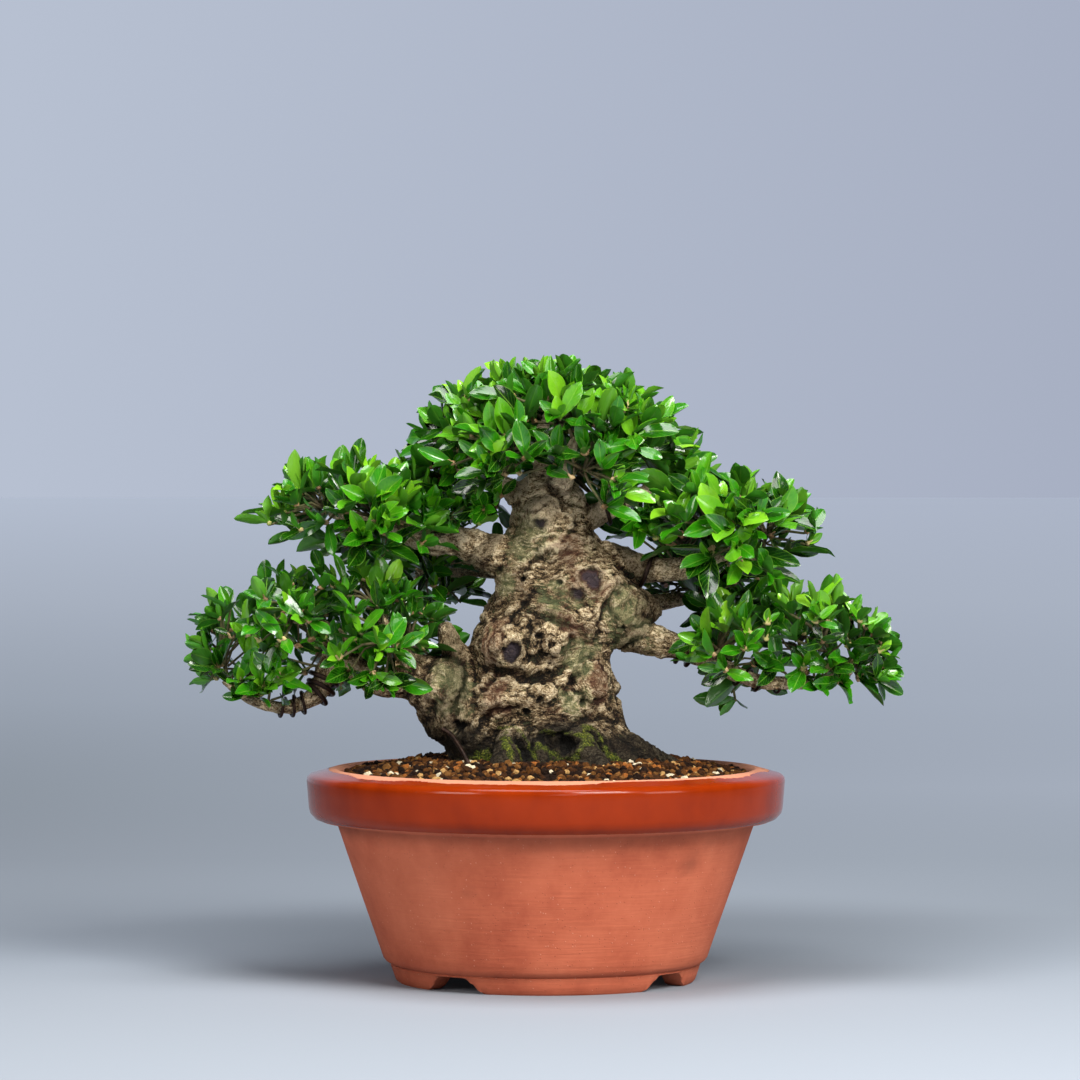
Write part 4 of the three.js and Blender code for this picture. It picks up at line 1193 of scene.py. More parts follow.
class LeafShape(Enum):
    """The leaf's outlines: widest place, fold along the midrib, curl of the tip, waviness and twist."""

    OVAL = (0.56, 0.36, 0.14, 0.02, 0.2)
    SPOON = (0.63, 0.22, 0.34, 0.03, -0.3)
    SLENDER = (0.52, 0.62, 0.04, 0.015, 0.1)
    TWISTED = (0.58, 0.30, 0.42, 0.05, 0.75)
    CUPPED = (0.57, 0.75, -0.22, 0.02, -0.15)


class Part(Enum):
    """What a point of a spray grows into."""

    TWIG = 0
    LEAF = 1
    BUD = 2


@dataclass
class Rosette:
    """A tuft of leaves at a twig's tip.

    Args:
        tip: Where the leaves sit.
        axis: The direction that the tuft faces.
        root: Where its twig starts.
        pairs: The number of crossed pairs of leaves.
        seed: The number that its random values come from.
        order: Its number in the spray.
        depth: How deep in the foliage it sits, from 0 to 1.
        vigour: How large its leaves grow.
    """

    tip: Any
    axis: Any
    root: Any
    pairs: int
    seed: int
    order: int
    depth: float
    vigour: float


@dataclass(frozen=True)
class Layer:
    """A ring of tufts round a spray: how many, how far out and how deep, and how they grow."""

    count: int
    pairs: int
    reach: float
    spread: float
    sink: float
    start: float
    lean: float
    depth: float


@dataclass
class Foliage:
    """The leafy sprays, one piece for each, in domes over the limbs' ends.

    Args:
        pads: The middle, reach, number of sprays, lowest rise and first turn of each dome.
        vigour: How large the leaves grow on each dome.
        layers: The rings of tufts that fill each spray out.
        fillers: Places of single tufts between the domes and the wood.
        thinning: The level of a slow noise below which a tuft is left out.
        shoot_step: Every how many seats a short shoot stands.
        blade_fill: The width of the leaf's form, for a length of 1.
        roundness: How full its outline is. A lower number is fuller.
    """

    pads: dict[str, tuple[Numbers, Numbers, int, float, float]] = field(
        default_factory=lambda: {
            "crown": ((3, 0, 316), (76, 60, 60), 11, -0.08, 136),
            "up_left": ((-118, -8, 291), (40, 34, 22), 4, -0.35, 24),
            "up_right": ((112, -8, 283), (37, 34, 20), 4, -0.3, 232),
            "low_left": ((-140, -12, 214), (68, 42, 38), 7, -0.45, 336),
            "low_right": ((152, -14, 210), (54, 38, 25), 5, -0.4, 304),
            "mid_right": ((104, 66, 246), (30, 28, 16), 3, -0.1, 144),
            "mid_left": ((-76, 68, 250), (20, 26, 16), 2, 0.2, 280)
        }
    )
    vigour: dict[str, float] = field(
        default_factory=lambda: {
            "crown": 1.06, "up_left": 1.05, "up_right": 1.1, "low_left": 0.86, "low_right": 0.92,
            "mid_right": 1.0, "mid_left": 1.0
        }
    )
    layers: tuple[Layer, ...] = (
        Layer(4, 3, 7, 6, 0, 0.95, 0.4, 0.0), Layer(6, 3, 19, 9, 5, 0.9, 0.75, 0.15),
        Layer(5, 2, 10, 10, 15, 0.6, 1.1, 0.9)
    )
    fillers: dict[str, tuple[Numbers, ...]] = field(
        default_factory=lambda: {
            "crown": (
                (-50, -16, 303), (-38, -24, 296), (-28, -14, 304), (-46, 8, 300), (-30, 22, 298),
                (46, -20, 300), (60, -14, 292), (38, 10, 298), (56, 14, 300), (-40, -14, 318),
                (-56, -12, 322), (-66, -8, 315), (30, -30, 318), (8, -44, 322), (-14, -34, 318)
            ),
            "up_left": (
                (-58, -16, 290), (-66, 4, 292), (-52, 14, 284), (-74, -20, 292), (-90, -22, 286),
                (-106, -24, 284), (-122, -22, 288), (-136, -14, 288)
            ),
            "up_right": ((70, -16, 276), (58, 12, 278), (84, 8, 276)),
            "low_left": (
                (-176, -27, 184), (-190, -25, 188), (-203, -20, 196), (-186, -4, 184), (-166, -30, 190),
                (-150, -28, 196), (-208, -8, 202), (-128, -28, 204), (-112, -24, 206), (-98, -22, 204),
                (-176, -18, 206), (-166, -26, 212), (-187, -14, 202), (-160, -16, 202), (-172, 2, 206),
                (-164, -24, 179), (-178, -24, 179), (-192, -20, 184)
            ),
            "low_right": (
                (128, -27, 200), (144, -28, 196), (160, -28, 196), (176, -26, 196), (190, -22, 200),
                (198, -10, 204), (166, -4, 196), (184, -8, 192), (170, -24, 186), (183, -22, 188),
                (194, -16, 192)
            )
        }
    )
    thinning: float = -0.22
    shoot_step: int = 5
    side_twigs: int = 3
    spray_radius: float = 14
    fork_depth: float = 15
    seat_spacing: float = 7
    leaf_length: float = 25
    leaf_width: float = 11.2
    leaf_thickness: float = 0.4
    blade_fill: float = 0.38
    roundness: float = 0.74
    twig_radius: float = 1.15
    skin: LeafSkin = field(default_factory=LeafSkin)
    twig: TwigSkin = field(default_factory=TwigSkin)
    bud: BudSkin = field(default_factory=BudSkin)

    def seats(self, pad: str) -> list[Any]:
        """The places on a pad's limbs where a twig may sit, clear of the coiled wires."""
        found = []
        for name, limb in LIMBS.items():
            if limb.get("pad") != pad:
                continue
            path = LimbPath(limb["points"])
            coils = [coil for coil in COILS.values() if coil.limb == name]
            at = float(limb["carries"])
            while at < path.last - 0.1:
                if not any(coil.start - 0.3 < at < coil.end + 0.3 for coil in coils):
                    found.append(path.at(at).middle)
                at += 0.125
        return found

    def plan(self, pad: str, number: int) -> Iterator[tuple[str, int, Any, Any, Any, Any]]:
        """Plans a pad's sprays as the solids have them.

        Args:
            pad: The pad's name.
            number: Its place in the list of pads.

        Yields:
            Name, seed, seat, fork, middle and outward direction of each spray.
        """
        middle, reach, sprays, lowest, turn = self.pads[pad]
        free = self.seats(pad)
        for spray in range(sprays):
            rise = 1 - ((spray + 0.5) / sprays) * (1 - lowest)
            flat = math.sqrt(1 - rise * rise)
            angle = math.radians(turn) + spray * GOLDEN_TURN
            out = np.array([flat * math.cos(angle), flat * math.sin(angle), rise])
            spot = np.array(middle, float) + out * np.array(reach, float)
            outward = unit(out / np.array(reach, float))
            outward = unit(outward + np.array([0.0, 0.0, 0.35]))
            seat = min(free, key=lambda other: float(np.linalg.norm(other - spot)))
            if len(free) > 1:
                kept = [other for other in free if np.linalg.norm(other - seat) >= self.seat_spacing]
                free = kept or free[:1]
            away = float(np.linalg.norm(seat - spot))
            fork = seat + (spot - seat) * max(1 - self.fork_depth / away, 0.45)
            yield f"spray_{pad}_{spray + 1}", number * 20 + spray, seat, fork, spot, outward

    def rosettes(
        self, seed: int, seat: Any, fork: Any, spot: Any, outward: Any, vigour: float
    ) -> list[Rosette]:
        """The tufts of a spray: the solid's own three, more around and above them, and some deeper in.

        Args:
            seed: The spray's seed.
            seat: Where its twig sits on the limb.
            fork: Where the side twigs part.
            spot: The spray's middle.
            outward: The direction that it faces.
            vigour: How large its leaves grow.

        Returns:
            The tufts.
        """
        first, second = cross_directions(outward)
        light = np.array([0.0, 0.0, 1.0])
        tufts = []
        for side in range(self.side_twigs):
            angle = side / self.side_twigs * 2 * math.pi + draw(seed, 1) * 2 * math.pi
            off = first * math.cos(angle) + second * math.sin(angle)
            tip = spot + off * self.spray_radius - outward * 3
            tufts.append(
                Rosette(tip, unit(outward + off * 0.55 + light * 0.2), fork, 3, seed, side, 0.0, vigour)
            )
        tufts.append(
            Rosette(spot + outward * 1.5, unit(outward + light * 0.2), fork, 3, seed, 3, 0.0, vigour)
        )
        order = len(tufts)
        for layer in self.layers:
            for side in range(layer.count):
                order += 1
                angle = (side + 0.8 * draw(seed, order, 3)) / layer.count * 2 * math.pi + draw(seed, 2) * 6
                off = first * math.cos(angle) + second * math.sin(angle)
                reach = layer.reach + layer.spread * draw(seed, order, 4)
                proud = 7 * max(draw(seed, order, 8) - 0.6, 0) * (layer.depth < 0.5)
                tip = spot + off * reach - outward * (layer.sink + 5 * draw(seed, order, 5) - 3 * proud)
                if layer.depth < 0.5 and noise.noise(Vector(tip) / 15) < self.thinning:
                    continue
                start = seat + (fork - seat) * layer.start + (tip - fork) * 0.1
                axis = unit(outward + off * layer.lean + light * 0.35)
                size = vigour * (0.8 + 0.3 * draw(seed, order, 6))
                tufts.append(Rosette(tip, axis, start, layer.pairs, seed, order, layer.depth, size))
        return tufts

    def shoots(self, pad: str, number: int) -> list[Rosette]:
        """The short shoots that stand straight on a pad's limbs and fill the room under its sprays.

        Args:
            pad: The pad's name.
            number: Its place in the list of pads.

        Returns:
            The shoots' tufts.
        """
        seats = self.seats(pad)
        seed = number * 20 + 19
        found = []
        for order, root in enumerate(seats[:: self.shoot_step]):
            turn = order * GOLDEN_TURN
            wide = 8 + 8 * draw(seed, order, 1)
            rise = 2 + 12 * draw(seed, order, 2)
            tip = root + np.array([wide * math.cos(turn), wide * math.sin(turn), rise])
            axis = unit(unit(tip - root) + np.array([0.0, -0.2, 0.4]))
            found.append(Rosette(tip, axis, root, 2, seed, order, 0.45, 0.9 * self.vigour[pad]))
        for order, spot in enumerate(self.fillers.get(pad, ())):
            tip = np.array(spot, float)
            root = min(seats, key=lambda seat: float(np.linalg.norm(seat - tip)))
            axis = unit(unit(tip - root) + np.array([0.0, -0.6, 0.35]))
            found.append(Rosette(tip, axis, root, 3, seed, 60 + order, 0.3, self.vigour[pad]))
        return found

    def leaf_mesh(self, shape: LeafShape) -> bpy.types.Object:
        """One leaf of length 1 along +Y, as a thin closed blade with its upper side to +Z.

        Args:
            shape: The leaf's outline.

        Returns:
            The leaf, with the UV map and attribute that its skin reads.
        """
        widest, fold, curl, wavy, twist = shape.value
        stations = [0.0, 0.06, 0.2, 0.36, 0.52, 0.68, 0.82, 0.93, 1.0]
        acrosses = [-1.0, -0.5, 0.0, 0.5, 1.0]
        bulge = math.log(0.5) / math.log(widest)
        thick = self.leaf_thickness / self.leaf_length / 2

        def spot(along: float, across: float, side: float) -> tuple[float, float, float]:
            """The place of a point of the upper or lower skin."""
            half = 0.5 * math.sin(math.pi * along**bulge) ** self.roundness if 0 < along < 1 else 0.0
            half = max(half, 0.06 if along < 0.1 else 0.0) * self.blade_fill
            lift = fold * abs(across) ** 1.2 * half + wavy * math.sin(along * 9 + across) * abs(across)
            lift += side * thick * (1.15 - abs(across))
            turned = twist * along
            x = across * half * math.cos(turned) - lift * math.sin(turned)
            z = across * half * math.sin(turned) + lift * math.cos(turned)
            return x, along, z - curl * along**2.2 * 0.5 + 0.1 * along

        places, faces, uvs, below = [], [], [], []
        grids = {}
        for side in (1, -1):
            for row, along in enumerate(stations):
                for column, across in enumerate(acrosses):
                    if row in (0, len(stations) - 1):
                        key = (0, row, 0)
                    elif column in (0, len(acrosses) - 1):
                        key = (0, row, column)
                    else:
                        key = (side, row, column)
                    if key not in grids:
                        grids[key] = len(places)
                        end = row in (0, len(stations) - 1)
                        places.append(spot(along, 0.0 if end else across, 0.0 if key[0] == 0 else side))
                    grids[(side, row, column, "at")] = grids[key]
            for row in range(len(stations) - 1):
                for column in range(len(acrosses) - 1):
                    corners = [(row, column), (row, column + 1), (row + 1, column + 1), (row + 1, column)]
                    face, coords = [], []
                    for r, c in corners:
                        number = grids[(side, r, c, "at")]
                        if number not in face:
                            face.append(number)
                            coords.append((0.5 + acrosses[c] / 2, stations[r]))
                    if side < 0:
                        face.reverse()
                        coords.reverse()
                    faces.append(tuple(face))
                    uvs.extend(coords)
                    below.append(0.0 if side > 0 else 1.0)
        made = new_mesh(f"leaf_{shape.name.lower()}", np.array(places) / MM, faces)
        layer = made.data.uv_layers.new(name="blade")
        layer.data.foreach_set("uv", np.array(uvs).ravel())
        store(made.data, "underside", "FLOAT", below, "FACE")
        rim = {grids[(0, r, c)] for r in range(1, len(stations) - 1) for c in (0, len(acrosses) - 1)}
        rim |= {grids[(0, 0, 0)], grids[(0, len(stations) - 1, 0)]}
        sharp = [edge.vertices[0] in rim and edge.vertices[1] in rim for edge in made.data.edges]
        store(made.data, "sharp_edge", "BOOLEAN", sharp, "EDGE")
        return made

    def bud_mesh(self) -> bpy.types.Object:
        """A bud of length 1 along +Z between two bract scales, as one small closed form.

        Returns:
            The bud.
        """
        rows = [(0.0, 0.2), (0.12, 0.42), (0.34, 0.34), (0.46, 0.16), (0.7, 0.15), (0.9, 0.06)]
        sides = 6
        places = [(0.0, 0.0, -0.1)]
        for number, (height, radius) in enumerate(rows):
            for side in range(sides):
                angle = side / sides * 2 * math.pi
                flare = 1.25 if side % 3 == 0 and number in (1, 2) else 0.85
                bent = radius * flare
                places.append((bent * math.cos(angle), bent * math.sin(angle), height + 0.05 * (side % 2)))
        places.append((0.02, 0.0, 1.0))
        faces = []
        for side in range(sides):
            after = (side + 1) % sides
            faces.append((0, 1 + after, 1 + side))
            for row in range(len(rows) - 1):
                low, high = 1 + row * sides, 1 + (row + 1) * sides
                faces.append((low + side, low + after, high + after, high + side))
            top = 1 + (len(rows) - 1) * sides
            faces.append((top + side, top + after, len(places) - 1))
        return new_mesh("bud_form", np.array(places) / MM, faces)

    def spray_tree(self) -> Any:
        """The Geometry Nodes tree that sweeps the twigs and sets leaves and buds on their points.

        Returns:
            The tree.
        """
        tree, add, source, result = geometry_tree(
            "spray growth",
            {
                "Leaves": "NodeSocketCollection", "Bud": "NodeSocketObject", "Twig Sides": "NodeSocketInt",
                "Leaf Skin": "NodeSocketMaterial", "Bud Skin": "NodeSocketMaterial",
                "Twig Skin": "NodeSocketMaterial"
            }
        )
        part = add("GeometryNodeInputNamedAttribute", {0: "part"}, data_type="INT")
        turn = add("GeometryNodeInputNamedAttribute", {0: "turn"}, data_type="FLOAT_VECTOR")
        spread = add("GeometryNodeInputNamedAttribute", {0: "spread"}, data_type="FLOAT_VECTOR")
        kind = add("GeometryNodeInputNamedAttribute", {0: "kind"}, data_type="INT")
        girth = add("GeometryNodeInputNamedAttribute", {0: "girth"}, data_type="FLOAT")
        facing = add("FunctionNodeEulerToRotation", {0: turn})
        chosen = {
            which: add(
                "FunctionNodeCompare", {2: part, 3: which.value}, data_type="INT", operation="EQUAL"
            ).outputs[0] for which in Part
        }
        wood = add(
            "GeometryNodeSeparateGeometry",
            {"Geometry": source.outputs["Geometry"], "Selection": chosen[Part.TWIG]}, domain="POINT"
        )
        line = add("GeometryNodeMeshToCurve", {"Mesh": wood})
        ring = add(
            "GeometryNodeCurvePrimitiveCircle", {"Resolution": source.outputs["Twig Sides"], "Radius": 1.0},
            mode="RADIUS"
        )
        swept = add(
            "GeometryNodeCurveToMesh",
            {"Curve": line, "Profile Curve": ring.outputs["Curve"], "Scale": girth, "Fill Caps": True}
        )
        twigs = add("GeometryNodeSetMaterial", {"Geometry": swept, "Material": source.outputs["Twig Skin"]})
        shapes = add(
            "GeometryNodeCollectionInfo",
            {"Collection": source.outputs["Leaves"], "Separate Children": True, "Reset Children": True}
        )
        leaves = add(
            "GeometryNodeInstanceOnPoints",
            {
                "Points": wood.outputs[1], "Selection": chosen[Part.LEAF], "Instance": shapes,
                "Pick Instance": True, "Instance Index": kind, "Rotation": facing, "Scale": spread
            }
        )
        bud = add("GeometryNodeObjectInfo", {"Object": source.outputs["Bud"]})
        buds = add(
            "GeometryNodeInstanceOnPoints",
            {
                "Points": wood.outputs[1], "Selection": chosen[Part.BUD],
                "Instance": bud.outputs["Geometry"], "Rotation": facing, "Scale": spread
            }
        )
        together = add("GeometryNodeJoinGeometry")
        for grown, finish in ((leaves, "Leaf Skin"), (buds, "Bud Skin")):
            real = add("GeometryNodeRealizeInstances", {0: grown})
            dressed = add("GeometryNodeSetMaterial", {"Geometry": real, "Material": source.outputs[finish]})
            feed(together, {0: dressed})
        feed(together, {0: twigs})
        feed(result, {0: together})
        return tree

    def grow_rosette(self, tuft: Rosette, points: "SprayPoints", keep: "Space") -> None:
        """Adds a tuft's twig, leaves and bud to a spray's points.

        Args:
            tuft: The tuft.
            points: The spray's points.
            keep: The space that the leaves have.
        """
        onward = unit(tuft.tip - tuft.root)
        blades = []
        first, second = cross_directions(tuft.axis)
        vigour = draw(tuft.seed, tuft.order, 21) * (0.55 + 0.45 * max(tuft.axis[2], 0))
        for leaf in range(tuft.pairs * 2):
            pair = leaf // 2
            turn = math.pi * (leaf % 2) + math.pi / 2 * pair + draw(tuft.seed, tuft.order, 9) * math.pi
            turn += 0.7 * (draw(tuft.seed, tuft.order, leaf, 7) - 0.5)
            size = (0.62 + 0.6 * draw(tuft.seed, tuft.order, leaf, 1)) * (1, 0.92, 0.66)[pair] * tuft.vigour
            lean = math.radians(60 - 18 * pair + 46 * (draw(tuft.seed, tuft.order, leaf, 2) - 0.5))
            if draw(tuft.seed, tuft.order, leaf, 10) < 0.1:
                continue
            flat = first * math.cos(turn) + second * math.sin(turn)
            along = flat * math.sin(lean) + tuft.axis * math.cos(lean)
            # Leaves turn up to the light, so none hangs steeply.
            along[2] = along[2] if along[2] > -0.25 else -0.25 + 0.35 * (along[2] + 0.25)
            along = unit(along)
            up = tuft.axis - along * along.dot(tuft.axis)
            root = tuft.tip + onward * 0.9 * pair
            length = self.leaf_length * size * (1 + 0.12 * tuft.depth)
            roll = 1.2 * (draw(tuft.seed, tuft.order, leaf, 5) - 0.5)
            up = unit(unit(up) * math.cos(roll) + np.cross(along, unit(up)) * math.sin(roll))
            length = keep.fit(root, along, length)
            if length < 7:
                continue
            width = self.leaf_width * size * (0.78 + 0.3 * draw(tuft.seed, tuft.order, leaf, 3))
            young = 0.03 + 0.55 * vigour**1.6 + 0.34 * draw(
                tuft.seed, tuft.order, leaf, 4
            ) ** 2 + 0.13 * pair
            # Deep tufts are painted darker: painted shade inside the foliage.
            tone = young * (1 - 0.8 * tuft.depth)
            kind = int(draw(tuft.seed, tuft.order, leaf, 6) * 4.99) if pair < 2 else 2
            blades.append((root, along, up, length, width / self.blade_fill, tone, kind))
        if len(blades) < 2:
            return
        for blade in blades:
            points.add_leaf(*blade)
        sway = first * (
            draw(tuft.seed, tuft.order, 41) - 0.5
        ) + second * (draw(tuft.seed, tuft.order, 42) - 0.5)
        bend = (tuft.root + tuft.tip) / 2 + sway * 5 + np.array([0.0, 0.0, 1.5])
        radius = self.twig_radius * (0.9 - 0.25 * tuft.depth)
        path = [tuft.root, bend, tuft.tip, tuft.tip + onward * 2.4]
        points.add_twig(path, [radius, radius * 0.9, radius * 0.8, radius * 0.6])
        for bud in range(int(draw(tuft.seed, tuft.order, 31) * 2.9)):
            lean_out = first * (
                draw(tuft.seed, tuft.order, bud, 32) - 0.5
            ) + second * (draw(tuft.seed, bud, 33) - 0.5)
            facing = unit(tuft.axis + lean_out * (0.3 + bud))
            points.add_bud(
                tuft.tip + onward * 1.2 + lean_out * 3 * bud, facing, 5.6 - 1.4 * bud, 0.1 + 0.6 * vigour
            )

    def build(self, wood: bpy.types.Object) -> None:
        """Makes every spray and places it.

        Args:
            wood: The finished trunk, which the leaves keep clear of.
        """
        store_room = bpy.data.collections.new("leaf_shapes")
        shapes = [self.leaf_mesh(shape) for shape in LeafShape]
        for number, shape in enumerate(shapes):
            shape.name = f"leaf_{number}"
            bpy.context.scene.collection.objects.unlink(shape)
            store_room.objects.link(shape)
        bud = self.bud_mesh()
        finishes = {
            "Leaf Skin": self.skin.material(), "Bud Skin": self.bud.material(),
            "Twig Skin": self.twig.material()
        }
        tree = self.spray_tree()
        keep = Space(wood)
        total = 0
        for number, pad in enumerate(self.pads):
            sprays = list(self.plan(pad, number))
            shoots: dict[str, list[Rosette]] = {spray[0]: [] for spray in sprays}
            for shoot in self.shoots(pad, number):
                nearest = min(sprays, key=lambda spray: float(np.linalg.norm(spray[2] - shoot.root)))
                shoots[nearest[0]].append(shoot)
            for name, seed, seat, fork, spot, outward in sprays:
                points = SprayPoints()
                bend = (seat + fork) / 2 + np.array([0.0, 0.0, 3.0])
                knob = fork + unit(fork - bend) * 1.5
                points.add_twig(
                    [seat, bend, knob], [self.twig_radius * 1.3, self.twig_radius * 1.15, self.twig_radius]
                )
                tufts = self.rosettes(seed, seat, fork, spot, outward, self.vigour[pad])
                for tuft in tufts + shoots[name]:
                    self.grow_rosette(tuft, points, keep)
                made = points.mesh(f"{name}_leaves")
                grow(made, tree, {"Leaves": store_room, "Bud": bud, "Twig Sides": 7, **finishes})
                place(made, "foliage", [name])
                total += points.leaves
        bpy.data.objects.remove(bud)
        for shape in shapes:
            bpy.data.objects.remove(shape)
        bpy.data.collections.remove(store_room)
        log.info("leaves in all: %d", total)


class Space:
    """The space that leaves may fill: inside the box, outside the wood and not before the bare head."""

    def __init__(self, wood: bpy.types.Object) -> None:
        """Reads the box and the wood's surface."""
        self.low = np.array(CAD_BOX[0]) / MM + 0.5
        self.high = np.array(CAD_BOX[1]) / MM - 0.5
        self.bare = (-26.0, 33.0, -6.0, 252.0, 303.0)
        faces = [tuple(face.vertices) for face in wood.data.polygons]
        self.skin = BVHTree.FromPolygons(places_of(wood.data).tolist(), faces)

    def fit(self, root: Any, along: Any, length: float) -> float:
        """How long a leaf may be from its root along its direction.

        Args:
            root: The leaf's root.
            along: Its direction.
            length: The length it would have.

        Returns:
            The length that fits, or 0 where the leaf would grow into the wood.
        """
        for share in (1.0, 0.85, 0.7, 0.55):
            tip = root + along * length * share
            if not (np.all(tip > self.low + 3) and np.all(tip < self.high - 3)):
                continue
            blocked = False
            for part in (0.1, 0.35, 0.7, 1.0):
                at = root + along * length * share * part
                spot = Vector(at)
                near, normal, _, distance = self.skin.find_nearest(spot)
                left, right, front, low, high = self.bare
                high += 0.5 * max(-25 - at[1], 0)
                bare = left < at[0] < right and at[1] < front and low < at[2] < high
                if bare or distance < 1.2 or (spot - near).dot(normal) < 0:
                    blocked = True
            if not blocked:
                return length * share
        return 0.0


class SprayPoints:
    """The points and lines that a spray grows from."""

    def __init__(self) -> None:
        """Starts without points."""
        self.places: list[Any] = []
        self.edges: list[tuple[int, int]] = []
        self.rows: list[
            tuple[int, tuple[float, float, float], tuple[float, float, float], int, float, float]
        ] = []
        self.leaves = 0

    def add_twig(self, path: Sequence[Any], radii: Numbers) -> None:
        """Adds a twig along a path with its radii."""
        for number, (spot, radius) in enumerate(zip(path, radii)):
            if number:
                self.edges.append((len(self.places) - 1, len(self.places)))
            self.places.append(spot)
            tone = 0.1 + 0.4 * number / len(path)
            self.rows.append((Part.TWIG.value, (0, 0, 0), (1, 1, 1), 0, radius * MM, tone))

    def add_leaf(
        self, root: Any, along: Any, up: Any, length: float, width: float, tone: float, kind: int
    ) -> None:
        """Adds a leaf with its direction, its upper side, its size, its tone and its shape."""
        right = unit(np.cross(along, up))
        turn = Matrix(np.column_stack([right, along, np.cross(right, along)]).tolist()).to_euler()
        self.places.append(root)
        self.rows.append(
            (Part.LEAF.value, tuple(turn), (width * MM, length * MM, length * MM), kind, 0.0, tone)
        )
        self.leaves += 1

    def add_bud(self, root: Any, axis: Any, length: float, tone: float) -> None:
        """Adds a bud with its direction, length and tone."""
        turn = Vector(axis).to_track_quat("Z", "Y").to_euler()
        self.places.append(root)
        size = length * MM
        self.rows.append((Part.BUD.value, tuple(turn), (size, size, size), 0, 0.0, tone))

    def mesh(self, name: str) -> bpy.types.Object:
        """The points and lines as a mesh with their attributes."""
        made = new_mesh(name, self.places, [], self.edges)
        parts, turns, spreads, kinds, girths, tones = zip(*self.rows)
        store(made.data, "part", "INT", parts)
        store(made.data, "turn", "FLOAT_VECTOR", turns)
        store(made.data, "spread", "FLOAT_VECTOR", spreads)
        store(made.data, "kind", "INT", kinds)
        store(made.data, "girth", "FLOAT", girths)
        store(made.data, "tone", "FLOAT", tones)
        return made


